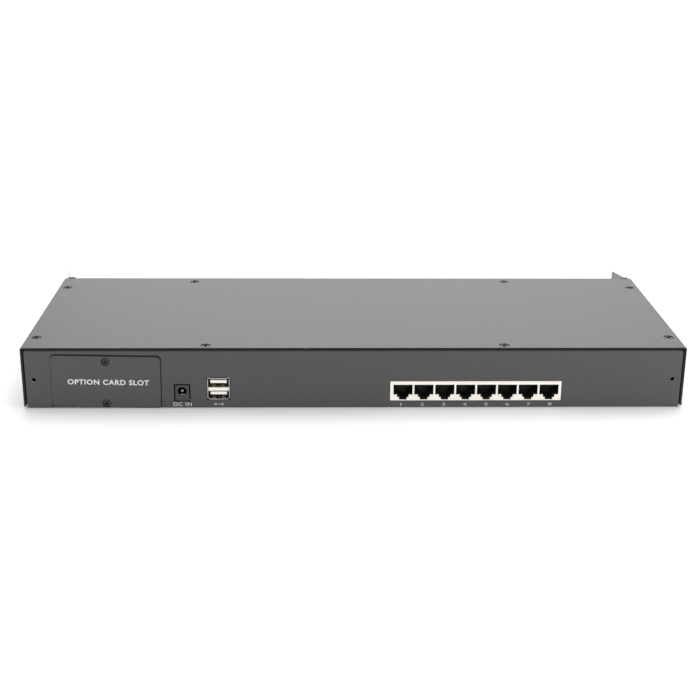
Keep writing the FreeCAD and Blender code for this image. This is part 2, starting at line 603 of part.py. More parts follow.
def rj45_contacts():
    """Eight sprung wires under the roof of each mouth, bent back and down from the front."""
    roof, thick, half = size("jack_roof"), size("wire_thick"), size("wire") / 2
    front = size("wire_start") - half_depth
    back = size("jack_deep") - half_depth - size("wire_back_gap")
    tail = back - size("wire_tail")
    low = roof - size("wire_drop")
    outline = [(front, roof), (front, roof - 1.6 * thick), (tail, low), (tail + 1.4 * thick, low),
               (front + 3 * thick, roof - thick), (back, roof - thick), (back, roof)]
    corners = [FreeCAD.Vector(-half, along, height) for along, height in outline + outline[:1]]
    wire = Part.Face(Part.makePolygon(corners)).extrude(FreeCAD.Vector(2 * half, 0, 0))
    lanes = [(lane - (WIRE_COUNT - 1) / 2) * size("wire_pitch") for lane in range(WIRE_COUNT)]
    places = [middle + lane for middle in jack_middles for lane in lanes]
    group("rj45_contacts", [placed(wire, (across, 0, 0)) for across in places])


# ---- stacked pair of type A sockets

def usb_sockets():
    inner = "usb_wide - 2 * usb_skin"
    start = "usb_left + usb_skin"
    outer = box("usb_outer", ("usb_left", MOUTH_Y, "usb_bottom"), ("usb_wide", "usb_long", "usb_tall"))
    rounded = soften("usb_rounded", outer, size("usb_round"), lambda edge: lies_along(edge, 1))
    hollow = box("usb_hollow", (start, f"{MOUTH_Y} - overrun", "usb_bottom + usb_skin"),
                 (inner, "usb_long + 2 * overrun", "usb_tall - 2 * usb_skin"))
    # The mouth's four corners are cut away, which leaves a lip on each side of it.
    removed = [hollow]
    for side, across in (("left", "usb_left - overrun"), ("right", "usb_left + usb_wide - usb_notch")):
        for level, up in (("bottom", "usb_bottom - overrun"), ("top", "usb_bottom + usb_tall - usb_notch")):
            removed.append(box(f"usb_notch_{level}_{side}", (across, f"{MOUTH_Y} - overrun", up),
                               ("usb_notch + overrun", "usb_notch_deep + overrun", "usb_notch + overrun")))
    skins = [cut("usb_tube", rounded, join("usb_removed", removed))]
    for level, low in (("upper", "usb_middle_high - usb_liner"), ("lower", "usb_middle_low")):
        skins.append(box("usb_liner_" + level, (start, f"{MOUTH_Y} + usb_liner", low),
                         (inner, "usb_long - usb_back - usb_liner", "usb_liner")))
    keep("usb_shell", join("usb_shell", skins))

    moulding = [box("usb_back_wall", (start, f"{MOUTH_Y} + usb_long - usb_back", "usb_bottom + usb_skin"),
                    (inner, "usb_back", "usb_tall - 2 * usb_skin")),
                box("usb_middle", (start, f"{MOUTH_Y} + usb_inset", "usb_middle_low + usb_liner"),
                    (inner, "usb_long - usb_inset", "usb_middle_high - usb_middle_low - 2 * usb_liner"))]
    for level in ("upper", "lower"):
        corner = ("usb_left + (usb_wide - tongue_wide) / 2", f"{MOUTH_Y} + tongue_inset", level + "_tongue")
        moulding.append(box("usb_tongue_" + level, corner,
                            ("tongue_wide", "usb_long - tongue_inset", "tongue_thick")))
    keep("usb_insulator", join("usb_insulator", moulding))

    strips = []
    for level in ("upper", "lower"):
        for number, across in enumerate(USB_STRIPS):
            corner = (f"usb_left + usb_wide / 2 - strip / 2 + {across}", f"{MOUTH_Y} + strip_inset",
                      f"{level}_tongue - strip_thick")
            strips.append(box(f"usb_strip_{level}_{number}", corner, ("strip", "strip_long", "strip_thick")))
    compound("usb_contacts", strips)
    keep("usb_seat", box("usb_seat", ("usb_left + seat_inset", f"{WALL_Y} + usb_liner", BOARD_TOP),
                         ("usb_wide - 2 * seat_inset", "usb_long - usb_back", f"usb_bottom - ({BOARD_TOP})")))


# ---- low-voltage power socket

def power_socket():
    block = box("power_block", ("power_middle - power_wide / 2", f"{MOUTH_Y} + power_inset", "power_bottom"),
                ("power_wide", "power_long", "power_tall"))
    rounded = soften("power_rounded", block, size("power_edge"),
                     lambda edge: edge.BoundBox.YMax < 1 - half_depth)
    bore = rod("power_bore", ("power_middle", f"{MOUTH_Y} - overrun", "power_hole_height"), "power_hole",
               "power_hole_deep + overrun", "y")
    keep("power_jack_body", cut("power_jack_body", rounded, bore))
    pin = rod("power_pin_rod", ("power_middle", f"{MOUTH_Y} + power_pin_inset", "power_hole_height"),
              "power_pin", "power_hole_deep - power_pin_inset", "y")
    tip = size("power_pin_inset") + 1 - half_depth
    keep("power_jack_pin", soften("power_jack_pin", pin, size("power_pin_round"),
                                  lambda edge: edge.BoundBox.YMax < tip))

    # Leaf that lies along the bottom of the bore, with one crest.
    body = new_body("power_jack_spring")
    leaf = sketch_on(body, "leaf_outline", "YZ_Plane", "power_middle - leaf_wide / 2")
    low = "power_hole_height - sqrt((power_hole / 2) ^ 2 - (leaf_wide / 2) ^ 2)"
    start, crest, end = (f"leaf_{place} - body_depth / 2" for place in ("start", "crest", "end"))
    add_polygon(leaf, [(start, low), (end, low), (end, f"{low} + leaf_thick"),
                       (crest, f"{low} + leaf_rise"), (start, f"{low} + leaf_thick")])
    pad(body, leaf, "leaf_wide")


# ---- circuit board, its fixings and what is soldered on it

def main_board():
    body = new_body("main_board")
    outline = sketch_on(body, "board_outline", "XY_Plane", "board_bottom")
    add_polygon(outline, [("board_left", "board_front"), ("board_left", "board_bay_rear"),
                          ("board_bay_edge", "board_bay_rear"), ("board_bay_edge", "board_rear"),
                          ("board_right", "board_rear"), ("board_right", "board_front")])
    pad(body, outline, "board_thick")
    holes = sketch_on(body, "board_holes", "XY_Plane", BOARD_TOP)
    for across, along in BOARD_STUDS:
        add_circle(holes, str(across), str(along), "thread_hole")
    pocket(body, holes, "board_thick")


def board_standoffs():
    """Pressed-in studs between the chassis floor and the board, tapped from above."""
    studs = []
    for number, (across, along) in enumerate(BOARD_STUDS):
        outer = rod(f"stud_{number}", (across, along, "sheet"), "stud", "board_bottom - sheet")
        bore = rod(f"stud_bore_{number}", (across, along, "sheet + stud_floor"), "stud_bore", "board_bottom")
        studs.append(cut(f"tapped_stud_{number}", outer, bore))
    compound("board_standoffs", studs)


def packages(name, wide, deep, tall, places):
    """Moulded packages with a chamfered top, one at each place on the board."""
    rim = board_top + size(tall) - 0.01
    made = []
    for number, (across, along) in enumerate(places):
        block = box(f"{name}_block_{number}", (f"{across} - {wide} / 2", f"{along} - {deep} / 2", BOARD_TOP),
                    (wide, deep, tall))
        made.append(dress("Part::Chamfer", f"{name}_{number}", block, size(tall) / 4,
                          lambda edge: edge.BoundBox.ZMin > rim))
    compound(name, made)


def board_components():
    receivers = [(f"(jack_first + {jack} * jack_pitch)", "receiver_row") for jack in range(JACK_COUNT)]
    packages("port_receivers", "receiver_wide", "receiver_long", "receiver_tall", receivers)
    packages("video_switches", "switch_side", "switch_side", "switch_tall", SWITCHES)
    packages("crosspoint_chip", "crosspoint_side", "crosspoint_side", "crosspoint_tall",
             [("crosspoint_x", "crosspoint_y")])
    packages("processor_chip", "processor_side", "processor_side", "processor_tall", PROCESSOR)
    packages("memory_chips", "memory_wide", "memory_long", "memory_tall", MEMORY)
    packages("console_driver_chip", "driver_side", "driver_side", "driver_tall", CONSOLE_DRIVER)
    packages("power_inductors", "coil_side", "coil_side", "coil_tall", COILS)


def filter_capacitors():
    """Aluminium cans, each on its square plastic base."""
    cans = []
    for number, (across, along) in enumerate(CANS):
        can = rod(f"can_{number}", (across, along, f"{BOARD_TOP} + can_base_tall"), "can", "can_tall")
        rounded = soften(f"can_rounded_{number}", can, size("can_round"),
                         lambda edge: not lies_along(edge, 2) and edge.BoundBox.ZMin > 2 * board_top)
        base = box(f"can_base_{number}", (f"{across} - can_base / 2", f"{along} - can_base / 2", BOARD_TOP),
                   ("can_base", "can_base", "can_base_tall"))
        cans.append(join(f"capacitor_{number}", [rounded, base]))
    compound("filter_capacitors", cans)


def clock_crystal():
    corner = (f"{CRYSTAL_X} - crystal_wide / 2", f"{CRYSTAL_Y} - crystal_deep / 2", BOARD_TOP)
    can = box("crystal_can", corner, ("crystal_wide", "crystal_deep", "crystal_tall"))
    keep("clock_crystal", soften("clock_crystal", can, size("crystal_round"),
                                 lambda edge: lies_along(edge, 2)))


def heat_sink():
    """Finned block on the crosspoint chip."""
    body = new_body("heat_sink")
    base = sketch_on(body, "sink_outline", "XY_Plane", f"{BOARD_TOP} + crosspoint_tall")
    left, near = "crosspoint_x - sink_side / 2", "crosspoint_y - sink_side / 2"
    add_rectangle(base, left, near, f"{left} + sink_side", f"{near} + sink_side")
    pad(body, base, "sink_tall")
    slot = sketch_on(body, "sink_slot_outline", "XY_Plane", f"{BOARD_TOP} + crosspoint_tall + sink_tall")
    add_rectangle(slot, f"{left} + sink_edge", f"{near} - overrun",
                  f"{left} + sink_edge + sink_slot", f"{near} + sink_side + overrun")
    first = pocket(body, slot, "sink_slot_deep")
    repeat(body, "sink_fins", [first], slot, SINK_SLOTS, f"{SINK_SLOTS - 1} * sink_pitch")


# ---- console connector on the far wall

CONSOLE_BACK = f"({FRONT_Y} - sheet - console_flange_thick)"
console_back = front_face - size("sheet") - size("console_flange_thick")


def contact_middle(row, column):
    """Where one contact of the staggered grid sits on the connector's face."""
    return (f"{column} * contact_pitch + {row} * contact_stagger",
            f"console_middle_z + {row} * contact_row")


def add_hood_outline(sketch, spare):
    """The connector's tapered outline, wide side up, drawn in by a margin."""
    wide, tall = f"(console_hood / 2 - {spare})", f"(console_hood_tall / 2 - {spare})"
    add_polygon(sketch, [(f"-{wide}", f"console_middle_z + {tall}"),
                         (f"console_taper - {wide}", f"console_middle_z - {tall}"),
                         (f"{wide} - console_taper", f"console_middle_z - {tall}"),
                         (wide, f"console_middle_z + {tall}")])


def is_hood_edge(edge, margin):
    """True for a long slanted corner edge of the hood or its core, inside the flange's outline."""
    reach = size("console_hood") / 2 + margin
    straight = edge.BoundBox.XLength < 1e-6 and edge.BoundBox.ZLength < 1e-6
    return straight and abs(edge.BoundBox.XMin) < reach and edge.Length > size("console_out") / 2


def console_shell():
    body = new_body("console_shell")
    flange = sketch_on(body, "flange_outline", "XZ_Plane", f"-({FRONT_Y} - sheet)")
    add_rectangle(flange, "-console_flange / 2", "console_middle_z - console_tall / 2",
                  "console_flange / 2", "console_middle_z + console_tall / 2")
    pad(body, flange, "console_flange_thick")
    outer = sketch_on(body, "hood_outline", "XZ_Plane", f"-({CONSOLE_BACK} + console_out)")
    add_hood_outline(outer, "0")
    hood = pad(body, outer, "console_out - console_flange_thick")
    round_edges(body, hood, "hood_round", lambda edge: is_hood_edge(edge, 0.1))
    mouth = sketch_on(body, "hood_mouth_outline", "XZ_Plane", f"-{CONSOLE_BACK}")
    add_hood_outline(mouth, "console_skin")
    inner = pocket(body, mouth, "2 * console_out")
    round_edges(body, inner, "core_round", lambda edge: is_hood_edge(edge, -size("console_skin") / 2)
                and edge.Length > size("console_out") - 0.1)
    holes = sketch_on(body, "flange_holes", "XZ_Plane", f"-{CONSOLE_BACK}")
    for sign in ("-", ""):
        add_circle(holes, sign + "console_nut_side", "console_middle_z", "thread_hole")
    pocket(body, holes, "2 * console_flange_thick")


def console_insulator():
    """Blue core with fifteen round holes, and the block behind the flange."""
    body = new_body("console_insulator")
    core = sketch_on(body, "core_outline", "XZ_Plane", f"-({CONSOLE_BACK} + console_out - core_short)")
    add_hood_outline(core, "console_skin")
    block = pad(body, core, "console_out - core_short + core_lead")
    round_edges(body, block, "core_round", lambda edge: lies_along(edge, 1))
    rear = sketch_on(body, "core_rear_outline", "XZ_Plane", f"-{CONSOLE_BACK}")
    add_rectangle(rear, "-console_flange / 2", BOARD_TOP,
                  "console_flange / 2", f"{BOARD_TOP} + core_tail_tall")
    pad(body, rear, "core_tail")
    holes = sketch_on(body, "contact_holes", "XZ_Plane", f"-({CONSOLE_BACK} - contact_back)")
    for row, column in CONSOLE_GRID:
        add_circle(holes, *contact_middle(row, column), "contact")
    pocket(body, holes, "3 * contact_back")
    nuts = sketch_on(body, "nut_bores", "XZ_Plane", f"-({CONSOLE_BACK} - core_tail)")
    for sign in ("-", ""):
        add_circle(nuts, sign + "console_nut_side", "console_middle_z", "thread_hole")
    pocket(body, nuts, "2 * core_tail")


def console_contacts():
    """Fifteen tubular contacts in three staggered rows."""
    tubes = []
    for number, (row, column) in enumerate(CONSOLE_GRID):
        across, up = contact_middle(row, column)
        outer = rod(f"contact_{number}", (across, f"{CONSOLE_BACK} - contact_back", up),
                    "contact", "contact_long", "y")
        bore = rod(f"contact_bore_{number}", (across, f"{CONSOLE_BACK} - contact_back + contact_floor", up),
                   "contact_bore", "contact_long", "y")
        tubes.append(cut(f"contact_tube_{number}", outer, bore))
    compound("console_contacts", tubes)


def console_jack_nuts():
    """Hexagonal pillars that a plug's screws thread into."""
    back = console_back - size("contact_back")
    forward = FreeCAD.Vector(0, 1, 0)
    reach = size("nut_across") / 2
    nuts = []
    for across in (-size("console_nut_side"), size("console_nut_side")):
        centre = FreeCAD.Vector(across, front_face, size("console_middle_z"))
        corners = [centre + FreeCAD.Vector(reach * math.cos(math.pi * turn / 3), 0,
                                           reach * math.sin(math.pi * turn / 3)) for turn in range(7)]
        hexagon = Part.Face(Part.makePolygon(corners)).extrude(forward * size("nut_long"))
        stem = Part.makeCylinder(size("shank") / 2, front_face - back,
                                 FreeCAD.Vector(across, back, centre.z), forward)
        thread = Part.makeCylinder(size("nut_thread") / 2, 2 * size("nut_long"), centre, forward)
        nuts.append(hexagon.fuse(stem).cut(thread))
    group("console_jack_nuts", nuts)


# ---- forward mounting arms: an angle bracket each side, both set over to the same side

def front_bracket(side, sign):
    """A foot on the far wall and an arm that leans towards -X; sign is -1 on the left."""
    name = "front_bracket_" + side
    thick = size("arm_thick")
    plate_left, stub_left, screw_x = "-arm_side", "-arm_side", "-bracket_screw_side"
    if sign > 0:
        plate_left, stub_left, screw_x = "arm_side - arm_foot", "arm_side - foot_stub", "bracket_screw_side"
    plate = box(name + "_plate", (plate_left, FRONT_Y, "arm_low"),
                ("arm_foot", "arm_thick", "foot_top - arm_low"))
    stub = box(name + "_stub", (stub_left, FRONT_Y, "arm_low"),
               ("foot_stub", "arm_thick", "stub_top - arm_low"))
    drills = [rod(f"{name}_{level}", (screw_x, f"{FRONT_Y} - overrun", level), "clear_hole",
                  "arm_thick + 2 * overrun", "y") for level in BRACKET_SCREWS]
    foot = cut(name + "_foot", join(name + "_blank", [plate, stub]), join(name + "_drills", drills))

    turn = FreeCAD.Rotation(FreeCAD.Vector(0, 0, 1), size(side + "_lean"))
    root = sign * size("arm_side") - (thick if sign > 0 else 0)
    start = FreeCAD.Vector(root, front_face, size("arm_low"))
    arm = doc.addObject("Part::Box", name + "_arm_blank")
    for prop, formula in (("Length", "arm_thick"), ("Width", "arm_long"), ("Height", "arm_top - arm_low")):
        bind(arm, prop, formula)
    arm.Placement = FreeCAD.Placement(start, turn)
    far = front_face + size("arm_long") / 2
    rounded = soften(name + "_arm_rounded", arm, size("arm_round"), lambda edge: edge.Length < 2 * thick
                     and edge.BoundBox.YMin > far and edge.BoundBox.ZMax < size("arm_top") / 2)
    hole = doc.addObject("Part::Cylinder", name + "_arm_drill")
    bind(hole, "Radius", "arm_hole / 2")
    bind(hole, "Height", "4 * arm_thick")
    centre = FreeCAD.Vector(-1.5 * thick, size("arm_hole_out"), size("arm_hole_height") - size("arm_low"))
    across = FreeCAD.Rotation(FreeCAD.Vector(0, 1, 0), 90)
    hole.Placement = FreeCAD.Placement(start + turn.multVec(centre), turn.multiply(across))
    keep(name, join(name, [foot, cut(name + "_arm", rounded, hole)]))


def bracket_screws():
    screw = pan_screw(size("bracket_screw_length"))
    seat = front_face + size("arm_thick")
    side = size("bracket_screw_side")
    places = [(across, seat, size(height)) for across in (-side, side) for height in BRACKET_SCREWS]
    group("bracket_screws", [placed(screw, place, (1, 0, 0), -90) for place in places])


chassis_base()
top_cover()
cover_screws()
blank_plate()
blank_plate_screws()
bay_frame()
bay_socket()
rj45_housing()
rj45_inserts()
rj45_contacts()
usb_sockets()
power_socket()
main_board()
board_standoffs()
board_screws()
board_components()
filter_capacitors()
clock_crystal()
heat_sink()
console_shell()
console_insulator()
console_contacts()
console_jack_nuts()
front_bracket("left", -1)
front_bracket("right", 1)
bracket_screws()
doc.recompute()

for thing in doc.Objects:
    if "Invalid" in thing.State or "Error" in thing.State:
        raise RuntimeError(f"{thing.Label} did not compute: {thing.State}")

os.makedirs("parts", exist_ok=True)
for name, thing in nodes.items():
    shape = thing.Shape
    if shape.isNull() or not shape.isValid():
        raise RuntimeError(f"{name} has no valid shape")
    shape.exportStep(f"parts/{name}.step")
    box_size = shape.BoundBox
    print(f"{name}: {len(shape.Solids)} solid(s), {shape.Volume:.0f} mm3,"
          f" x {box_size.XMin:.1f}..{box_size.XMax:.1f}, y {box_size.YMin:.1f}..{box_size.YMax:.1f},"
          f" z {box_size.ZMin:.1f}..{box_size.ZMax:.1f}")
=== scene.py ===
import bpy
import bmesh
import json
import math
import random
from mathutils import Euler, Matrix, Vector


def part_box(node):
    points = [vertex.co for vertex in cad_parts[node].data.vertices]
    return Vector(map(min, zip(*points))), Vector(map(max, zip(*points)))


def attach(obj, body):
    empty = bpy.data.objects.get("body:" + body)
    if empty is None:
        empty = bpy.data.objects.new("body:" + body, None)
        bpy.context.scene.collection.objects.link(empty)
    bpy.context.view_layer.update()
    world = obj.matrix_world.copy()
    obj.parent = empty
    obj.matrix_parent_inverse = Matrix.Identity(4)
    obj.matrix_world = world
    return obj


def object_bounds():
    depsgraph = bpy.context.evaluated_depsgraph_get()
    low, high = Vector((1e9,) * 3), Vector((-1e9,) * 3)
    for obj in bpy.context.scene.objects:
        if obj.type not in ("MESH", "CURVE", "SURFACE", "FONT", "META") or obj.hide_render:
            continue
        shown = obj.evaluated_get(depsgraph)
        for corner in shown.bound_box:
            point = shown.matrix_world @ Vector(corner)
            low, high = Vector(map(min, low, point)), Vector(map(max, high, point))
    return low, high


# Looks of a one-unit rack KVM switch module. Metres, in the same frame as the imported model:
# X runs along the port panel, the ports face -Y, +Z is up.

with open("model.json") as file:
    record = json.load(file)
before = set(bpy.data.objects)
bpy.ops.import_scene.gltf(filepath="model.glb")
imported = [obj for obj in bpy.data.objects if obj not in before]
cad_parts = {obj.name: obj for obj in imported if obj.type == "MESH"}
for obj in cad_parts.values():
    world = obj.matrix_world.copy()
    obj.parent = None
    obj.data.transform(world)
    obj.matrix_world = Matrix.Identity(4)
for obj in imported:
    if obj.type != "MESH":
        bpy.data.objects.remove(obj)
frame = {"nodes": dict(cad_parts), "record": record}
cad_low, cad_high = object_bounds()
NODES = frame["nodes"]
MM = 0.001
SLIVER = 0.02 * MM  # thickness of what is laid on a surface; lettering is twice as thick
ROUND = 40  # sides of a ring that should look round close by
JACKS = 8
CONTACTS = 8  # in each jack
CONTACT_PITCH = 1.27 * MM


def centred(number, count):
    """The place of a numbered item, from 0 up, measured from the middle of a row of count."""
    return number - (count - 1) / 2


# ---- node-material helpers

def set_range(node, low, high, start, end):
    """Makes a Map Range node map low..high onto start..end."""
    sockets = ("From Min", "From Max", "To Min", "To Max")
    for socket, number in zip(sockets, (low, high, start, end)):
        node.inputs[socket].default_value = number


class Surface:
    """A node material under construction: one Principled shader plus object coordinates."""

    def __init__(self, name, colour, roughness=0.5, metallic=0.0, **sockets):
        self.material = bpy.data.materials.new(name)
        self.material.use_nodes = True
        self.tree = self.material.node_tree
        self.shader = self.tree.nodes["Principled BSDF"]
        self.shader.inputs["Base Color"].default_value = (*colour, 1.0)
        self.shader.inputs["Roughness"].default_value = roughness
        self.shader.inputs["Metallic"].default_value = metallic
        for socket, value in sockets.items():
            self.shader.inputs[socket.replace("_", " ")].default_value = value
        self.colour = colour
        self.place = self.node("ShaderNodeTexCoord").outputs["Object"]
        self.bumped = None

    def node(self, kind, **settings):
        """Adds a node of a kind, with its settings."""
        made = self.tree.nodes.new(kind)
        for key, value in settings.items():
            setattr(made, key, value)
        return made

    def link(self, source, target):
        self.tree.links.new(source, target)

    def noise(self, scale, detail=2.0, roughness=0.5, stretch=None):
        """Grey noise; scale is in cells per metre, stretch scales the three axes."""
        made = self.node("ShaderNodeTexNoise")
        made.inputs["Scale"].default_value = scale
        made.inputs["Detail"].default_value = detail
        made.inputs["Roughness"].default_value = roughness
        place = self.place
        if stretch:
            mapping = self.node("ShaderNodeMapping")
            mapping.inputs["Scale"].default_value = stretch
            self.link(place, mapping.inputs["Vector"])
            place = mapping.outputs["Vector"]
        self.link(place, made.inputs["Vector"])
        return made.outputs["Fac"]

    def ramp(self, value, low, high, start=0.0, end=1.0):
        """Maps a value from low..high onto start..end."""
        made = self.node("ShaderNodeMapRange")
        set_range(made, low, high, start, end)
        self.link(value, made.inputs["Value"])
        return made.outputs["Result"]

    def reverse(self, mask):
        """1 where a mask is 0, and 0 where it is 1."""
        return self.ramp(mask, 0.0, 1.0, 1.0, 0.0)

    def parts(self, vector):
        """The three parts of a vector, to be picked by X, Y or Z."""
        made = self.node("ShaderNodeSeparateXYZ")
        self.link(vector, made.inputs["Vector"])
        return made.outputs

    def within(self, **limits):
        """1 where each named coordinate lies between its two limits, else 0."""
        place = self.parts(self.place)
        inside = None
        for axis, (low, high) in limits.items():
            test = self.node("ShaderNodeMath", operation="COMPARE")
            self.link(place[axis], test.inputs[0])
            test.inputs[1].default_value = (low + high) / 2
            test.inputs[2].default_value = (high - low) / 2
            if inside:
                both = self.node("ShaderNodeMath", operation="MULTIPLY")
                self.link(inside, both.inputs[0])
                self.link(test.outputs["Value"], both.inputs[1])
                test = both
            inside = test.outputs["Value"]
        return inside

    def upright_to(self, axis):
        """1 on faces square to an axis or within 53 degrees of that, 0 beyond 60 degrees."""
        facing = self.parts(self.node("ShaderNodeNewGeometry").outputs["True Normal"])
        size = self.node("ShaderNodeMath", operation="ABSOLUTE")
        self.link(facing[axis], size.inputs[0])
        return self.ramp(size.outputs["Value"], 0.5, 0.6)

    def tint(self, value, other):
        """Mixes the base colour towards another where the value is high."""
        socket = self.shader.inputs["Base Color"]
        mix = self.node("ShaderNodeMix", data_type="RGBA")
        if socket.is_linked:
            self.link(socket.links[0].from_socket, mix.inputs["A"])
        else:
            mix.inputs["A"].default_value = (*self.colour, 1.0)
        mix.inputs["B"].default_value = (*other, 1.0)
        self.link(value, mix.inputs["Factor"])
        self.link(mix.outputs["Result"], socket)

    def polish(self, value, low, high):
        """Lets the roughness wander between two limits."""
        self.link(self.ramp(value, 0.3, 0.7, low, high), self.shader.inputs["Roughness"])

    def bump(self, value, depth, strength=1.0):
        """Adds relief; depth is in metres."""
        made = self.node("ShaderNodeBump")
        made.inputs["Distance"].default_value = depth
        made.inputs["Strength"].default_value = strength
        self.link(value, made.inputs["Height"])
        if self.bumped:
            self.link(self.bumped, made.inputs["Normal"])
        self.bumped = made.outputs["Normal"]
        self.link(self.bumped, self.shader.inputs["Normal"])


def shade(colour, factor):
    """A colour made darker or paler."""
    return tuple(channel * factor for channel in colour)


# ---- materials

PAINT = (0.069, 0.069, 0.071)
# painted shadow colour, laid where shade falls: recesses, countersinks and the gaps round screw
# heads
SHADOW = (0.003, 0.003, 0.003)
BARE_STEEL = (0.5, 0.5, 0.49)
BARE_LAMINATE = (0.42, 0.36, 0.16)
TRANSLUCENT = {"Subsurface_Weight": 0.08, "Subsurface_Scale": 0.001}


def powder_coat(name, colour):
    """Fine-textured paint: a sand-like grain with a few paler specks."""
    made = Surface(name, colour, 0.5, Specular_IOR_Level=0.25)
    made.tint(made.ramp(made.noise(420, 1.0), 0.35, 0.65, 0.0, 0.4), shade(colour, 0.92))
    made.tint(made.ramp(made.noise(5200, 1.0), 0.62, 0.74, 0.0, 0.5), shade(colour, 1.9))
    made.polish(made.noise(900, 1.0), 0.48, 0.53)
    made.bump(made.noise(1500, 2.5), 0.00007, 0.55)
    made.bump(made.noise(420, 1.0), 0.00006, 0.2)
    return made


def chassis_paint():
    """Paint, with bare steel inside the two end holes of the port panel."""
    made = powder_coat("charcoal_powder_coat", PAINT)
    mounts = {mount["name"]: mount for mount in frame["record"]["mounts"]}
    holes = mounts["panel_end_holes"]
    middle, reach = Vector(holes["pos_m"]), holes["dims"]["hole_r_mm"] * 1.1 * MM
    for side in (-1, 1):
        across = middle.x + side * holes["dims"]["spacing_x_mm"] / 2 * MM
        wall = made.within(X=(across - reach, across + reach),
                           Y=(middle.y + 0.1 * MM, middle.y + 1.5 * MM),
                           Z=(middle.z - reach, middle.z + reach))
        made.tint(wall, BARE_STEEL)
    return made.material


def cover_paint():
    """Paint, with painted shade darkening the cut edges at the two ends and painted shadow inside
    the countersinks.
    """
    low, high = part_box("top_cover")
    made = powder_coat("cover_powder_coat", PAINT)
    between = made.within(Y=(low.y + SLIVER, high.y - SLIVER))
    # painted shade: the cut edges at the two ends are darkened
    made.tint(made.reverse(between), shade(PAINT, 0.15))
    side = high.x - 3.0 * MM
    sheet = (high.z - 1.15 * MM, high.z - 2 * SLIVER)
    # painted shadow inside the countersinks
    made.tint(made.within(X=(-side, side), Z=sheet), SHADOW)
    return made.material


def plate_paint():
    """Paint, with painted shadow inside the two countersinks on the plate's middle line."""
    low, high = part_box("blank_plate")
    middle = (low.x + high.x) / 2
    made = powder_coat("plate_powder_coat", PAINT)
    column = (middle - 4.0 * MM, middle + 4.0 * MM)
    # painted shadow inside the countersinks
    made.tint(made.within(X=column, Y=(low.y + 2 * SLIVER, high.y - SLIVER)), SHADOW)
    return made.material


def black_oxide(name, colour, recess=None):
    """Dark screw finish. The driver recess is given as limits on the screw's own axis: what lies
    between them, and every face that runs along that axis, gets painted shadow."""
    made = Surface(name, colour, 0.3, Specular_IOR_Level=0.3)
    made.tint(made.ramp(made.noise(1800), 0.5, 0.8, 0.0, 0.6), shade(colour, 1.8))
    made.polish(made.noise(900), 0.28, 0.42)
    made.bump(made.noise(3000), 0.00002, 0.4)
    if recess:
        # painted shade in the driver recess and on the faces that run along the screw's axis
        made.tint(made.within(**recess), SHADOW)
        made.tint(made.reverse(made.upright_to(*recess)), SHADOW)
    return made.material


def metal(name, colour, roughness=0.3, grain=(1.0, 14.0, 1.0)):
    """Bare or plated metal, with faint streaks; grain scales them along the three axes."""
    made = Surface(name, colour, roughness, 1.0)
    streaks = made.noise(260, 3.0, 0.6, grain)
    made.tint(made.ramp(made.noise(60, 3.0), 0.35, 0.7, 0.0, 0.6), shade(colour, 0.78))
    made.polish(streaks, roughness * 0.75, roughness * 1.35)
    made.bump(streaks, 0.00002, 0.35)
    return made.material


def moulded(name, colour, roughness=0.4, grain=2600, depth=0.00002, **sockets):
    """Moulded plastic or ceramic, slightly uneven in tone and gloss."""
    made = Surface(name, colour, roughness, **sockets)
    made.tint(made.ramp(made.noise(90, 3.0), 0.3, 0.75, 0.0, 0.5), shade(colour, 0.88))
    made.polish(made.noise(400), roughness * 0.85, roughness * 1.2)
    made.bump(made.noise(grain, 1.5), depth, 0.5)
    return made.material


def solder_mask():
    """Green lacquer over the board's weave, with bare laminate on the cut edges."""
    made = Surface("solder_mask", (0.008, 0.075, 0.032), 0.34, Coat_Weight=0.12)
    weave = made.noise(700, 1.0, 0.5, (3.0, 1.0, 1.0))
    made.tint(made.ramp(weave, 0.42, 0.62, 0.0, 0.6), (0.012, 0.11, 0.045))
    made.tint(made.ramp(made.noise(18, 2.0), 0.4, 0.7, 0.0, 0.5), (0.006, 0.055, 0.026))
    made.polish(made.noise(160), 0.28, 0.42)
    made.bump(weave, 0.00002, 0.3)
    made.tint(made.reverse(made.upright_to("Z")), BARE_LAMINATE)
    return made.material


def ink(name, colour):
    """Screen-printed ink, a little patchy."""
    made = Surface(name, colour, 0.55)
    made.tint(made.ramp(made.noise(3500, 2.0), 0.5, 0.75, 0.0, 0.5), shade(colour, 0.72))
    made.bump(made.noise(4000), 0.00001, 0.4)
    return made.material


def tinned():
    """Dipped solder: bright, with an uneven gloss."""
    made = Surface("tinned", (0.62, 0.62, 0.61), 0.3, 1.0)
    made.polish(made.noise(1300), 0.2, 0.45)
    made.bump(made.noise(1700), 0.00003, 0.4)
    return made.material


CHARCOAL = chassis_paint()
COVER_COAT = cover_paint()
PLATE_COAT = plate_paint()
SCREW_BLACK = black_oxide("black_oxide", (0.02, 0.02, 0.021))
# the lid and plate screws carry painted shade in their driver recesses
lid_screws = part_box("cover_screws")
LID_SCREW = black_oxide("lid_screw_oxide_and_shade", (0.02, 0.02, 0.021),
                        {"Z": (lid_screws[0].z, lid_screws[1].z - 0.22 * MM)})
plate_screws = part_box("blank_plate_screws")
PLATE_SCREW = black_oxide("plate_screw_oxide_and_shade", (0.05, 0.05, 0.052),
                          {"Y": (plate_screws[0].y + 0.2 * MM, plate_screws[1].y)})
ZINC = metal("zinc_plate", (0.55, 0.56, 0.57), 0.34)
DULL_STEEL = metal("dull_steel", (0.29, 0.29, 0.295), 0.52, (1.0, 1.0, 14.0))
NICKEL = metal("nickel_plate", (0.4, 0.397, 0.38), 0.28, (1.0, 1.0, 9.0))
GOLD = metal("gold_flash", (0.83, 0.6, 0.24), 0.22, (1.0, 1.0, 1.0))
ALUMINIUM = metal("extruded_aluminium", (0.72, 0.73, 0.75), 0.36, (14.0, 1.0, 1.0))
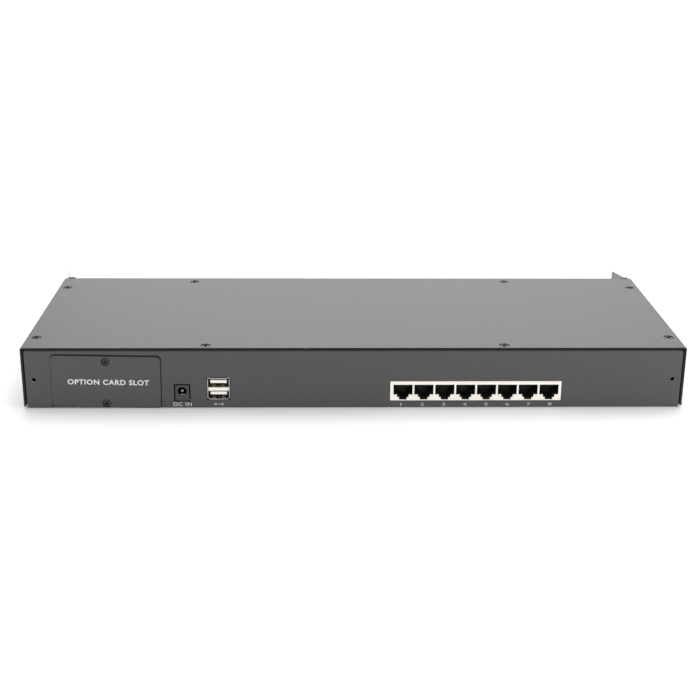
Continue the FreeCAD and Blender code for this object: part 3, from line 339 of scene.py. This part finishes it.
CREAM = moulded("cream_plastic", (0.87, 0.82, 0.75), 0.34, **TRANSLUCENT)
IVORY = moulded("ivory_plastic", (0.92, 0.88, 0.8), 0.38, **TRANSLUCENT)
BLACK_PLASTIC = moulded("black_plastic", (0.018, 0.018, 0.019), 0.42)
SOCKET_BLACK = moulded("socket_black_plastic", (0.04, 0.04, 0.041), 0.5)
BLUE_PLASTIC = moulded("blue_plastic", (0.02, 0.06, 0.3), 0.4)
CHIP_BLACK = moulded("chip_moulding", (0.016, 0.016, 0.017), 0.55, 5200, 0.00003)
TAN_CERAMIC = moulded("tan_ceramic", (0.42, 0.27, 0.15), 0.35)
MASK_GREEN = solder_mask()
WHITE_INK = ink("white_ink", (0.62, 0.62, 0.62))
GREY_INK = ink("grey_ink", (0.42, 0.42, 0.42))
TRACE_GREEN = ink("trace_green", (0.016, 0.15, 0.06))
TIN = tinned()
# painted shadow: dark matte colour for the rings laid over the gaps round the screw heads
PAINTED_GAP_SHADOW = moulded("seam_shadow", SHADOW, 0.8, Specular_IOR_Level=0.05)

NODE_MATERIALS = {
    "chassis_base": CHARCOAL, "top_cover": COVER_COAT, "blank_plate": PLATE_COAT,
    "front_bracket_left": DULL_STEEL, "front_bracket_right": DULL_STEEL,
    "cover_screws": LID_SCREW, "blank_plate_screws": PLATE_SCREW, "bracket_screws": SCREW_BLACK,
    # black bay frame: a dark finish chosen to give painted shade in the gaps round the blank plate
    "bay_frame": SCREW_BLACK, "board_standoffs": ZINC, "board_screws": ZINC,
    "console_shell": ZINC, "console_jack_nuts": ZINC,
    "usb_shell": NICKEL, "clock_crystal": NICKEL, "power_jack_pin": NICKEL,
    "rj45_housing": CREAM, "rj45_inserts": BLACK_PLASTIC, "rj45_contacts": GOLD,
    "usb_insulator": IVORY, "usb_seat": IVORY, "usb_contacts": GOLD,
    "power_jack_body": SOCKET_BLACK, "power_jack_spring": NICKEL,
    "bay_socket": BLACK_PLASTIC, "bay_socket_contacts": GOLD,
    "console_insulator": BLUE_PLASTIC, "console_contacts": GOLD,
    "main_board": MASK_GREEN, "heat_sink": ALUMINIUM, "filter_capacitors": ALUMINIUM,
}
for name, node in NODES.items():
    node.data.materials.clear()
    node.data.materials.append(NODE_MATERIALS.get(name, CHIP_BLACK))


# ---- building blocks for new pieces

def finish_piece(name, mesh, material, body):
    """Puts a mesh in the scene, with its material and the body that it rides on."""
    piece = bpy.data.objects.new(name, mesh)
    bpy.context.scene.collection.objects.link(piece)
    mesh.materials.append(material)
    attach(piece, body)


def face_panel(middle, turn=0.0):
    """Where flat artwork goes: its X along the panel, its Y up, its normal out of the panel."""
    upright = Matrix.Rotation(turn, 4, "Y") @ Matrix.Rotation(math.pi / 2, 4, "X")
    return Matrix.Translation(middle) @ upright


def lettering(name, words, height, width, place, body, bold=0.0, spacing=1.0, colour=WHITE_INK):
    """Printed words, centred on a place, of a given capital height and overall width."""
    curve = bpy.data.curves.new(name + "_outline", "FONT")
    curve.body = words
    curve.align_x = curve.align_y = "CENTER"
    curve.offset = bold
    curve.space_character = spacing
    curve.resolution_u = 6
    curve.extrude = 0.5  # any depth will do, because the scaling sets it
    source = bpy.data.objects.new(name + "_outline", curve)
    mesh = bpy.data.meshes.new_from_object(source)
    bpy.data.objects.remove(source)
    low = Vector([min(v.co[axis] for v in mesh.vertices) for axis in range(3)])
    high = Vector([max(v.co[axis] for v in mesh.vertices) for axis in range(3)])
    middle, span = (low + high) / 2, high - low
    scale = Matrix.Diagonal((width / span.x, height / span.y, 2 * SLIVER / span.z, 1.0))
    mesh.transform(place @ scale @ Matrix.Translation(-middle))
    finish_piece(name, mesh, colour, body)


# ---- printed markings on the port panel

panel_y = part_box("chassis_base")[0].y


def double_arrow(name, length, height, place, body):
    """A two-headed arrow, printed flat."""
    half, shaft, tip = length / 2, height * 0.09, height * 0.75
    right = [(0, shaft), (half - tip, shaft), (half - tip, height / 2), (half, 0)]
    lower = [(across, -up) for across, up in reversed(right[:3])]
    outline = right + lower
    outline += [(-across, up) for across, up in reversed(right[1:] + lower[:-1])]
    mesh = bpy.data.meshes.new(name)
    shape = bmesh.new()
    face = shape.faces.new([shape.verts.new((across, up, 0)) for across, up in outline])
    lifted = bmesh.ops.extrude_face_region(shape, geom=[face])["geom"]
    upper = [item for item in lifted if isinstance(item, bmesh.types.BMVert)]
    bmesh.ops.translate(shape, vec=(0, 0, 2 * SLIVER), verts=upper)
    bmesh.ops.recalc_face_normals(shape, faces=shape.faces)
    shape.transform(place)
    shape.to_mesh(mesh)
    shape.free()
    finish_piece(name, mesh, GREY_INK, body)


def on_panel(across, height):
    """Where a mark goes on the panel, by the X and the height of its middle."""
    return face_panel(Vector((across, panel_y - SLIVER, height)))


def panel_markings():
    """Port numbers, socket labels and the words on the blank plate."""
    first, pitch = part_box("rj45_housing")[0].x + 7.4 * MM, 14.31 * MM
    for number in range(JACKS):
        place = on_panel(first + number * pitch, 2.25 * MM)
        width = 2.4 * MM if number else 0.8 * MM
        lettering(f"port_number_{number + 1}", str(number + 1), 2.1 * MM, width, place, "chassis",
                  bold=0.005, colour=GREY_INK)
    low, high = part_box("power_jack_body")
    place = on_panel((low.x + high.x) / 2, 2.6 * MM)
    lettering("power_label", "DC IN", 2.6 * MM, 12.0 * MM, place, "chassis", spacing=1.15)
    low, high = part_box("usb_shell")
    place = on_panel((low.x + high.x) / 2, 2.7 * MM)
    double_arrow("usb_mark", 7.0 * MM, 2.2 * MM, place, "chassis")
    low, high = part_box("blank_plate")
    middle = (low + high) / 2
    words = Vector((middle.x + 1.6 * MM, low.y - SLIVER, middle.z - 0.2 * MM))
    place = face_panel(words, math.radians(1.0))
    lettering("plate_label", "OPTION CARD SLOT", 3.7 * MM, 53.7 * MM, place, "bay_plate",
              bold=0.03, spacing=1.12)


panel_markings()


# ---- detail on the circuit board

board_low, board_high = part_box("main_board")
BOARD_Z = board_high.z


def solid_boxes(node):
    """Lowest and highest corner of each separate solid of a node, from left to right."""
    mesh = NODES[node].data
    parent = {}

    def root(key):
        while parent[key] != key:
            key = parent[key]
        return key

    keys = [tuple(round(c, 6) for c in vertex.co) for vertex in mesh.vertices]
    for key in keys:
        parent.setdefault(key, key)
    for polygon in mesh.polygons:
        first = root(keys[polygon.vertices[0]])
        for vertex in polygon.vertices[1:]:
            parent[root(keys[vertex])] = first
    boxes = {}
    for key in parent:
        low, high = boxes.setdefault(root(key), (list(key), list(key)))
        for axis in range(3):
            low[axis] = min(low[axis], key[axis])
            high[axis] = max(high[axis], key[axis])
    return sorted((Vector(low), Vector(high)) for low, high in boxes.values())


class Builder:
    """Collects many small bodies into one mesh."""

    def __init__(self):
        self.shape = bmesh.new()

    def ring(self, points):
        """The corners of one cross-section."""
        return [self.shape.verts.new(point) for point in points]

    def sweep(self, rings, closed=False):
        """Walls from each ring to the next, with end faces unless the last meets the first."""
        for first, second in zip(rings, rings[1:] + rings[:1] if closed else rings[1:]):
            for turn in range(len(first)):
                following = (turn + 1) % len(first)
                corners = first[turn], first[following], second[following], second[turn]
                self.shape.faces.new(corners)
        if not closed:
            self.shape.faces.new(rings[-1])
            self.shape.faces.new(list(reversed(rings[0])))

    def block(self, low, high, inset=0.0):
        """A box; inset draws its top in on every side."""
        rings = []
        for z, trim in ((low[2], 0.0), (high[2], inset)):
            x0, y0, x1, y1 = low[0] + trim, low[1] + trim, high[0] - trim, high[1] - trim
            rings.append(self.ring([(x0, y0, z), (x1, y0, z), (x1, y1, z), (x0, y1, z)]))
        self.sweep(rings)

    def ribbon(self, path, thickness, origin, run, width):
        """A strip that leaves origin in the direction run. Its path gives pairs of how far it
        has run and how high it is."""
        side = Vector((-run.y, run.x, 0)) * width / 2
        rings = []
        for number, (out, up) in enumerate(path):
            before = Vector(path[max(number - 1, 0)])
            after = Vector(path[min(number + 1, len(path) - 1)])
            slope = (after - before).normalized()
            under = origin + run * out + Vector((0, 0, up))
            over = under + (Vector((0, 0, slope.x)) - run * slope.y) * thickness
            rings.append(self.ring([under - side, under + side, over + side, over - side]))
        self.sweep(rings)

    def disc(self, centre, radius, height, sides=12, hole=0.0):
        """A flat round, or a ring if it has a hole."""
        rims = [(radius, 0), (radius, height)] + ([(hole, height), (hole, 0)] if hole else [])
        x, y, z = centre
        angles = [2 * math.pi * turn / sides for turn in range(sides)]
        rings = [self.ring((x + reach * math.cos(angle), y + reach * math.sin(angle), z + up)
                           for angle in angles) for reach, up in rims]
        self.sweep(rings, closed=bool(hole))

    def line(self, points, width, height, closed=False):
        """A flat conductor or printed line along points on the board."""
        points = [Vector(point) for point in points]
        rings = []
        count = len(points)
        for number, point in enumerate(points):
            before = points[(number - 1) % count] if closed or number else point
            after = points[(number + 1) % count] if closed or number < count - 1 else point
            arriving, leaving = (point - before).normalized(), (after - point).normalized()
            along = (arriving + leaving).normalized()
            normal = Vector((-along.y, along.x))
            straight = arriving if arriving.length else leaving
            stretch = 1 / max(0.5, abs(normal.dot(Vector((-straight.y, straight.x)))))
            offset = normal * width / 2 * stretch
            left, right = point + offset, point - offset
            rings.append(self.ring([(*left, BOARD_Z), (*right, BOARD_Z),
                                    (*right, BOARD_Z + height), (*left, BOARD_Z + height)]))
        self.sweep(rings, closed)

    def done(self, name, material, body, slot):
        """Turns what was collected into a piece of the scene."""
        mesh = bpy.data.meshes.new(name)
        bmesh.ops.recalc_face_normals(self.shape, faces=self.shape.faces)
        self.shape.to_mesh(mesh)
        self.shape.free()
        finish_piece(name, mesh, material, body)


def screw_rims():
    """A dark ring laid round each countersunk head, at the surface of the sheet that it sits in:
    painted shadow for the gap between head and countersink.
    """
    rims = Builder()
    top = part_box("top_cover")[1].z
    for low, high in solid_boxes("cover_screws"):
        middle = (low + high) / 2
        rims.disc((middle.x, middle.y, top), 3.4 * MM, SLIVER, ROUND, hole=2.95 * MM)
    rims.done("cover_screw_shadow_rims", PAINTED_GAP_SHADOW, "cover", "black_screw")
    rims = Builder()
    for low, high in solid_boxes("blank_plate_screws"):
        middle = (low + high) / 2
        rims.disc((middle.x, middle.z, 0.0), 2.75 * MM, SLIVER, ROUND, hole=2.3 * MM)
    rims.shape.transform(face_panel(Vector((0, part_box("blank_plate")[0].y, 0))))
    rims.done("plate_screw_shadow_rims", PAINTED_GAP_SHADOW, "bay_plate", "black_screw")


screw_rims()


def jack_middles():
    """X of each jack's middle. One receiver chip stands behind each jack, on the same X."""
    low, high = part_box("port_receivers")
    chip_low, chip_high = solid_boxes("port_receivers")[0]
    half = (chip_high.x - chip_low.x) / 2
    pitch = (high.x - low.x - 2 * half) / (JACKS - 1)
    return [low.x + half + number * pitch for number in range(JACKS)]


def shell_tabs():
    """Fixing tabs from the back of the USB shell down to the board, and two ribs on its top."""
    tabs = Builder()
    low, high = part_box("usb_shell")
    sheet = 0.3 * MM
    for side in (low.x, high.x - sheet):
        tabs.block((side, high.y - 2.6 * MM, BOARD_Z),
                   (side + sheet, high.y - 0.8 * MM, low.z + 0.4 * MM))
    for side in (-1, 1):
        middle = (low.x + high.x) / 2 + side * 3.3 * MM
        tabs.block((middle - 1.1 * MM, low.y + 3.0 * MM, high.z),
                   (middle + 1.1 * MM, low.y + 8.0 * MM, high.z + sheet), 0.25 * MM)
    tabs.done("usb_shell_tabs", NICKEL, "chassis", "nickel_shell")


def gull_wing_leads(node, pitch, sides):
    """Bent leads along the given sides of every chip of a node, and a ring that marks the
    first lead. A side is given by its turn from +X."""
    leads, marks = Builder(), Builder()
    thickness, width, corner = 0.12 * MM, 0.45 * pitch, 0.9 * MM
    for low, high in solid_boxes(node):
        middle, half = (low + high) / 2, (high - low) / 2
        rise = 0.45 * (high.z - low.z)
        path = [(-0.05 * MM, rise), (0.35 * MM, rise),
                (0.62 * MM, 0.06 * MM), (1.15 * MM, 0.02 * MM)]
        for turn in sides:
            run = Vector((round(math.cos(turn)), round(math.sin(turn)), 0))
            reach = half.x if run.x else half.y
            span = (half.y if run.x else half.x) - corner
            count = int(2 * span / pitch)
            start = Vector((middle.x, middle.y, low.z)) + run * reach
            for number in range(count + 1):
                slide = centred(number, count + 1) * pitch
                origin = start + Vector((-run.y, run.x, 0)) * slide
                leads.ribbon(path, thickness, origin, run, width)
        place = (low.x + 1.5 * MM, low.y + 1.5 * MM, high.z)
        marks.disc(place, 0.55 * MM, 0.015 * MM, 16, hole=0.42 * MM)
    leads.done(node + "_leads", TIN, "chassis", "zinc_steel")
    marks.done(node + "_marks", GREY_INK, "chassis", "white_plastic")


ALL_SIDES = [math.pi / 2 * turn for turn in range(4)]
TWO_SIDES = [0.0, math.pi]
gull_wing_leads("crosspoint_chip", 0.65 * MM, ALL_SIDES)
gull_wing_leads("processor_chip", 0.5 * MM, ALL_SIDES)
gull_wing_leads("video_switches", 0.65 * MM, ALL_SIDES)
gull_wing_leads("console_driver_chip", 0.65 * MM, ALL_SIDES)
gull_wing_leads("port_receivers", 0.8 * MM, TWO_SIDES)
gull_wing_leads("memory_chips", 0.8 * MM, TWO_SIDES)


def swing(start, end):
    """A route with one slanting stretch half way between two straight ones."""
    lean = min(abs(end[0] - start[0]), 0.8 * abs(end[1] - start[1])) / 2
    middle = (start[1] + end[1]) / 2
    lean = math.copysign(lean, end[1] - start[1])
    return [start, (start[0], middle - lean), (end[0], middle + lean), end]


def board_traces():
    """Runs from the jacks to the receivers, the switches and the crosspoint chip, and from the
    processor by way of a memory chip to the crosspoint chip."""
    traces = Builder()
    width, height = 0.22 * MM, 0.035 * MM
    jack_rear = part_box("rj45_housing")[1].y
    receivers = solid_boxes("port_receivers")
    switches = solid_boxes("video_switches")
    cross_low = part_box("crosspoint_chip")[0]
    small_gap, gap = 0.8 * MM, 1.4 * MM  # from a package to where its traces start

    for number, (low, high) in enumerate(receivers):
        middle = (low.x + high.x) / 2
        target_low, target_high = switches[min(number // 3, 2)]
        for lane in range(CONTACTS):
            across = middle + centred(lane, CONTACTS) * 0.8 * MM
            start = (across, jack_rear + 0.3 * MM)
            traces.line([start, (across, low.y - small_gap)], width, height)
            shift = centred((number % 3) * CONTACTS + lane, 3 * CONTACTS) * 0.42 * MM
            start = (across, high.y + small_gap)
            end = ((target_low.x + target_high.x) / 2 + shift, target_low.y - gap)
            traces.line(swing(start, end), width, height)

    lanes = 14
    for number, (low, high) in enumerate(switches):
        for lane in range(lanes):
            start = ((low.x + high.x) / 2 + centred(lane, lanes) * 0.7 * MM, high.y + gap)
            across = cross_low.x + (1.0 + (number * lanes + lane) * 0.53) * MM
            traces.line(swing(start, (across, cross_low.y - gap)), width, height)

    processor_low, processor_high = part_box("processor_chip")
    bank_low, bank_high = solid_boxes("memory_chips")[1]
    for lane in range(22):
        along = processor_low.y + (1.2 + lane * 0.8) * MM
        start = (processor_high.x + gap, along)
        traces.line([start, (bank_low.x - gap, along)], width, height)
        far = cross_low.y + (2.0 + lane * 0.9) * MM
        begin = bank_high.x + gap
        knee = begin + 8 * MM + lane * 0.9 * MM
        route = [(begin, along), (knee, along),
                 (knee + abs(far - along), far), (cross_low.x - gap, far)]
        traces.line(route, width, height)
    traces.done("board_traces", TRACE_GREEN, "chassis", "board_green")


board_traces()


def chip_outlines():
    """White outlines printed round the packages, and rings round the board's screws."""
    lines = Builder()
    for node in ("crosspoint_chip", "processor_chip", "video_switches", "console_driver_chip",
                 "port_receivers", "memory_chips", "power_inductors", "clock_crystal"):
        gap = 1.4 * MM if node == "port_receivers" else 1.7 * MM
        for low, high in solid_boxes(node):
            left, near, right, far = low.x - gap, low.y - gap, high.x + gap, high.y + gap
            outline = [(left, near), (right, near), (right, far), (left, far)]
            lines.line(outline, 0.18 * MM, SLIVER, closed=True)
    for low, high in solid_boxes("board_screws"):
        middle = (low + high) / 2
        lines.disc((middle.x, middle.y, BOARD_Z), 4.4 * MM, SLIVER, ROUND, hole=4.2 * MM)
    lines.done("board_outlines", WHITE_INK, "chassis", "white_plastic")


chip_outlines()


def end_zones(low, high, depth, upright):
    """The boxes at the two ends of a part that lies along Y if upright, else along X."""
    if upright:
        near_high = Vector((high.x, low.y + depth, high.z))
        far_low = Vector((low.x, high.y - depth, low.z))
    else:
        near_high = Vector((low.x + depth, high.y, high.z))
        far_low = Vector((high.x - depth, low.y, low.z))
    return (low, near_high), (far_low, high)


def passives():
    """Small resistors and ceramic capacitors: dark or tan bodies between tinned ends, each on
    two tinned pads."""
    dark, tan, ends, pads = Builder(), Builder(), Builder(), Builder()
    length, width, cap, solder = 1.6 * MM, 0.8 * MM, 0.32 * MM, 0.03 * MM
    swell = Vector((0.02, 0.02, 0.0)) * MM
    up = Vector((0, 0, 0.02 * MM))

    def part(x, y, upright, is_capacitor):
        tall = (0.75 if is_capacitor else 0.45) * MM
        spans = (width, length) if upright else (length, width)
        low = Vector((x - spans[0] / 2, y - spans[1] / 2, BOARD_Z + solder))
        high = Vector((x + spans[0] / 2, y + spans[1] / 2, BOARD_Z + tall))
        along = Vector((0, cap, 0)) if upright else Vector((cap, 0, 0))
        (tan if is_capacitor else dark).block(low + along, high - along)
        for start, end in end_zones(low, high, cap, upright):
            ends.block(start - swell, end + swell + up, 0.03 * MM)
        reach = Vector((0.12, 0.42, 0)) * MM if upright else Vector((0.42, 0.12, 0)) * MM
        foot, top = Vector((low.x, low.y, BOARD_Z)), Vector((high.x, high.y, BOARD_Z + solder))
        for start, end in end_zones(foot, top, cap, upright):
            pads.block(start - reach, end + reach)

    for low, high in solid_boxes("port_receivers"):
        middle = (low.x + high.x) / 2
        for column in range(4):
            across = middle + centred(column, 4) * 2.6 * MM
            part(across, high.y + 2.6 * MM, True, column % 2 == 0)
    for low, high in solid_boxes("video_switches"):
        for row in range(5):
            along = low.y + (1.0 + row * 2.4) * MM
            part(low.x - 4.0 * MM, along, False, row % 2 == 0)
            part(high.x + 4.0 * MM, along, False, True)
    low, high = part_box("processor_chip")
    for column in range(8):
        across = low.x + (1.2 + column * 2.5) * MM
        part(across, low.y - 4.2 * MM, True, True)
        part(across, high.y + 4.2 * MM, True, column % 3 == 0)
    low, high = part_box("crosspoint_chip")
    for row in range(9):
        part(high.x + 4.6 * MM, low.y + (1.0 + row * 2.7) * MM, False, row % 2 == 1)
        part(low.x + (1.0 + row * 2.7) * MM, high.y + 4.6 * MM, True, True)
    low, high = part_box("power_inductors")
    for row in range(7):
        part(low.x - 4.5 * MM, low.y + (row * 6.4) * MM, True, row % 2 == 0)
        part(high.x + 5.0 * MM, low.y + (3 + row * 6.0) * MM, False, row % 3 == 0)
    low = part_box("console_insulator")[0]
    for column in range(11):
        across = low.x + (1.0 + column * 2.9) * MM
        part(across, low.y - 5.0 * MM, True, column % 2 == 1)
        part(across, low.y - 9.0 * MM, True, column % 3 == 1)
    dark.done("resistor_bodies", CHIP_BLACK, "chassis", "black_plastic")
    tan.done("capacitor_bodies", TAN_CERAMIC, "chassis", "cream_plastic")
    ends.done("passive_ends", TIN, "chassis", "zinc_steel")
    pads.done("passive_pads", TIN, "chassis", "zinc_steel")


passives()


def vias():
    """Plated through-holes scattered between the packages, always in the same places."""
    seed, wanted, margin, edge = 7, 260, 2.4 * MM, 4 * MM
    chance = random.Random(seed)
    rings = Builder()
    boxes = [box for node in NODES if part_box(node)[0].z >= BOARD_Z - 0.5 * MM
             for box in solid_boxes(node)]
    bay_right, bay_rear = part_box("bay_frame")[1].x + 3 * MM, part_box("bay_socket")[0].y + 3 * MM
    placed = 0
    while placed < wanted:
        x = chance.uniform(board_low.x + edge, board_high.x - edge)
        y = chance.uniform(board_low.y + 20 * MM, board_high.y - edge)
        in_bay = x < bay_right and y < bay_rear
        hit = any(low.x - margin < x < high.x + margin and low.y - margin < y < high.y + margin
                  for low, high in boxes)
        if in_bay or hit:
            continue
        rings.disc((x, y, BOARD_Z), 0.36 * MM, 0.03 * MM, 10, hole=0.17 * MM)
        placed += 1
    rings.done("board_vias", TIN, "chassis", "zinc_steel")


vias()


def capacitor_tops():
    """Black polarity sector on each can."""
    marks = Builder()
    radius = 3.3 * MM
    turns = [math.radians(120 + 12 * step) for step in range(11)]
    for low, high in solid_boxes("filter_capacitors"):
        middle = (low + high) / 2
        outline = [(middle.x + radius * math.cos(turn), middle.y + radius * math.sin(turn))
                   for turn in turns]
        base = marks.ring((*point, high.z) for point in outline)
        top = marks.ring((*point, high.z + SLIVER) for point in outline)
        marks.sweep([base, top])
    marks.done("capacitor_marks", CHIP_BLACK, "chassis", "black_plastic")


capacitor_tops()


def usb_springs():
    """Sprung fingers of the shell, two on the floor of each mouth."""
    springs = Builder()
    low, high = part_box("usb_shell")
    middle = (low.x + high.x) / 2
    path = [(0.0, 0.02 * MM), (1.2 * MM, 0.45 * MM), (2.2 * MM, 0.75 * MM),
            (3.2 * MM, 0.55 * MM), (5.4 * MM, 0.05 * MM)]
    for floor in (low.z + 0.6 * MM, low.z + 8.7 * MM):
        for side in (-1, 1):
            origin = Vector((middle + side * 3.3 * MM, low.y + 0.7 * MM, floor))
            springs.ribbon(path, 0.22 * MM, origin, Vector((0, 1, 0)), 2.2 * MM)
    springs.done("usb_spring_fingers", TIN, "chassis", "nickel_shell")


usb_springs()
shell_tabs()


def connector_tails():
    """Contacts that leave the backs of the connectors and turn down into the board."""
    gold, tin = Builder(), Builder()
    inward, outward = Vector((0, 1, 0)), Vector((0, -1, 0))

    def tail(built, across, along, run, height, reach):
        path = [(0.0, height), (reach - 0.35 * MM, height),
                (reach, height - 0.5 * MM), (reach, 0.0)]
        built.ribbon(path, 0.25 * MM, Vector((across, along, BOARD_Z)), run, 0.45 * MM)

    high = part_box("rj45_housing")[1]
    for middle in jack_middles():
        for lane in range(CONTACTS):
            reach, height = (1.0 * MM, 3.2 * MM) if lane % 2 else (2.2 * MM, 5.4 * MM)
            across = middle + centred(lane, CONTACTS) * CONTACT_PITCH
            tail(gold, across, high.y, inward, height, reach)
    low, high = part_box("usb_insulator")
    for lane in range(4):
        across = (low.x + high.x) / 2 + centred(lane, 4) * 2.3 * MM
        tail(tin, across, high.y, inward, 3.4 * MM, 1.2 * MM)
        tail(tin, across, high.y, inward, 7.6 * MM, 2.6 * MM)
    low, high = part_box("power_jack_body")
    for side in (-1, 1):
        tail(tin, (low.x + high.x) / 2 + side * 2.4 * MM, high.y, inward, 3.0 * MM, 1.1 * MM)
    low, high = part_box("console_insulator")
    for row, height in enumerate((2.6, 5.2, 7.8)):
        for column in range(5):
            shift = centred(column, 5) * 2.29 * MM + centred(row, 3) * 0.76 * MM
            across = (low.x + high.x) / 2 + shift
            tail(tin, across, low.y, outward, height * MM, (0.9 + 1.1 * row) * MM)
    gold.done("jack_tails", GOLD, "chassis", "gold_contact")
    tin.done("connector_tails", TIN, "chassis", "zinc_steel")


connector_tails()


def draw_jack_slot_shadows():
    """Thin dark patches on top of the jack housing, painted shade standing for its slots: over
    each jack a wide one and a row of narrow ones."""
    slots = Builder()
    low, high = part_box("rj45_housing")
    for middle in jack_middles():
        for lane in range(CONTACTS):
            across = middle + centred(lane, CONTACTS) * CONTACT_PITCH
            # painted shade in place of the slot openings
            slots.block((across - 0.3 * MM, high.y - 6.0 * MM, high.z),
                        (across + 0.3 * MM, high.y - 1.6 * MM, high.z + SLIVER))
        slots.block((middle - 3.2 * MM, low.y + 4.5 * MM, high.z),
                    (middle + 3.2 * MM, low.y + 7.0 * MM, high.z + SLIVER))
    slots.done("jack_slot_shadow_patches", CHIP_BLACK, "chassis", "black_plastic")


draw_jack_slot_shadows()


def inductor_trim():
    """Tinned terminals folded up two sides of each inductor, and a ring printed on its top."""
    terminals, rings = Builder(), Builder()
    clip, pad = (0.25 * MM, 2.0 * MM, 2.4 * MM), (1.0 * MM, 2.4 * MM, 0.05 * MM)
    for low, high in solid_boxes("power_inductors"):
        middle = (low + high) / 2
        for side in (-1, 1):
            face = middle.x + side * (high.x - low.x) / 2
            for reach, half, tall in (clip, pad):
                start, end = sorted((face, face + side * reach))
                terminals.block((start, middle.y - half, BOARD_Z),
                                (end, middle.y + half, BOARD_Z + tall))
        rings.disc((middle.x, middle.y, high.z), 3.0 * MM, SLIVER, 32, hole=2.7 * MM)
    terminals.done("inductor_terminals", TIN, "chassis", "zinc_steel")
    rings.done("inductor_marks", GREY_INK, "chassis", "white_plastic")


inductor_trim()


# ---- light, floor and camera

def area_light(name, size, power, location, target):
    """A rectangular soft light at a place, aimed at a target."""
    light = bpy.data.lights.new(name, "AREA")
    light.shape = "RECTANGLE"
    light.size, light.size_y = size
    light.energy = power
    lamp = bpy.data.objects.new(name, light)
    lamp.location = location
    lamp.rotation_euler = (Vector(target) - Vector(location)).to_track_quat("-Z", "Y").to_euler()
    bpy.context.scene.collection.objects.link(lamp)


def white_room():
    """A white surround, brightest at the horizon and softer overhead."""
    world = bpy.data.worlds.new("studio")
    world.use_nodes = True
    nodes, links = world.node_tree.nodes, world.node_tree.links
    split = nodes.new("ShaderNodeSeparateXYZ")
    links.new(nodes.new("ShaderNodeTexCoord").outputs["Generated"], split.inputs["Vector"])
    fade = nodes.new("ShaderNodeMapRange")
    set_range(fade, 0.12, 0.6, 1.04, 0.72)
    links.new(split.outputs["Z"], fade.inputs["Value"])
    nodes["Background"].inputs["Color"].default_value = (1.0, 1.0, 1.0, 1.0)
    links.new(fade.outputs["Result"], nodes["Background"].inputs["Strength"])
    return world


def studio():
    """White surround, soft lights and a pale floor. Far from the object the floor glows a
    little, so that it meets the surround without a line."""
    scene = bpy.context.scene
    scene.world = white_room()
    scene.view_settings.view_transform = "Standard"
    mesh = bpy.data.meshes.new("floor")
    side = 20.0
    corners = [(-side, -side, 0), (side, -side, 0), (side, side, 0), (-side, side, 0)]
    mesh.from_pydata(corners, [], [(0, 1, 2, 3)])
    floor = bpy.data.objects.new("floor", mesh)
    floor.location.z = cad_low.z - 0.2 * MM
    scene.collection.objects.link(floor)
    paper = Surface("floor_paper", (0.97, 0.97, 0.97), 0.8, Emission_Color=(1.0, 1.0, 1.0, 1.0))
    paper.bump(paper.noise(900), 0.00002, 0.2)
    distance = paper.node("ShaderNodeVectorMath", operation="LENGTH")
    paper.link(paper.place, distance.inputs[0])
    glow_starts, glow_full, strength = 0.6, 1.8, 0.4
    glow = paper.ramp(distance.outputs["Value"], glow_starts, glow_full, 0.0, strength)
    paper.link(glow, paper.shader.inputs["Emission Strength"])
    mesh.materials.append(paper.material)
    area_light("top_softbox", (1.6, 1.0), 9.0, (0.15, 0.35, 1.25), (0.0, 0.0, 0.0))
    area_light("far_softbox", (1.9, 0.9), 23.0, (0.1, 1.9, 1.0), (0.0, 0.0, 0.04))
    area_light("right_softbox", (0.25, 0.15), 0.9, (0.5, -0.45, 0.2), (0.21, -0.08, 0.03))
    area_light("left_softbox", (0.25, 0.15), 0.35, (-0.5, -0.45, 0.2), (-0.21, -0.08, 0.03))


def camera():
    """The photograph's eye point: in front of the ports, just left of centre, looking down."""
    data = bpy.data.cameras.new("camera")
    data.lens = 65.6
    data.sensor_width = 36.0
    eye = bpy.data.objects.new("camera", data)
    eye.location = (-0.0259, -0.870, 0.3262)
    pitch, yaw, roll = math.radians(19.84), math.radians(1.61), math.radians(-0.50)
    level = math.cos(pitch)
    aim = Vector((math.sin(yaw) * level, math.cos(yaw) * level, -math.sin(pitch)))
    eye.rotation_mode = "QUATERNION"
    eye.rotation_quaternion = aim.to_track_quat("-Z", "Y") @ Euler((0, 0, -roll)).to_quaternion()
    bpy.context.scene.collection.objects.link(eye)
    bpy.context.scene.camera = eye


studio()
camera()
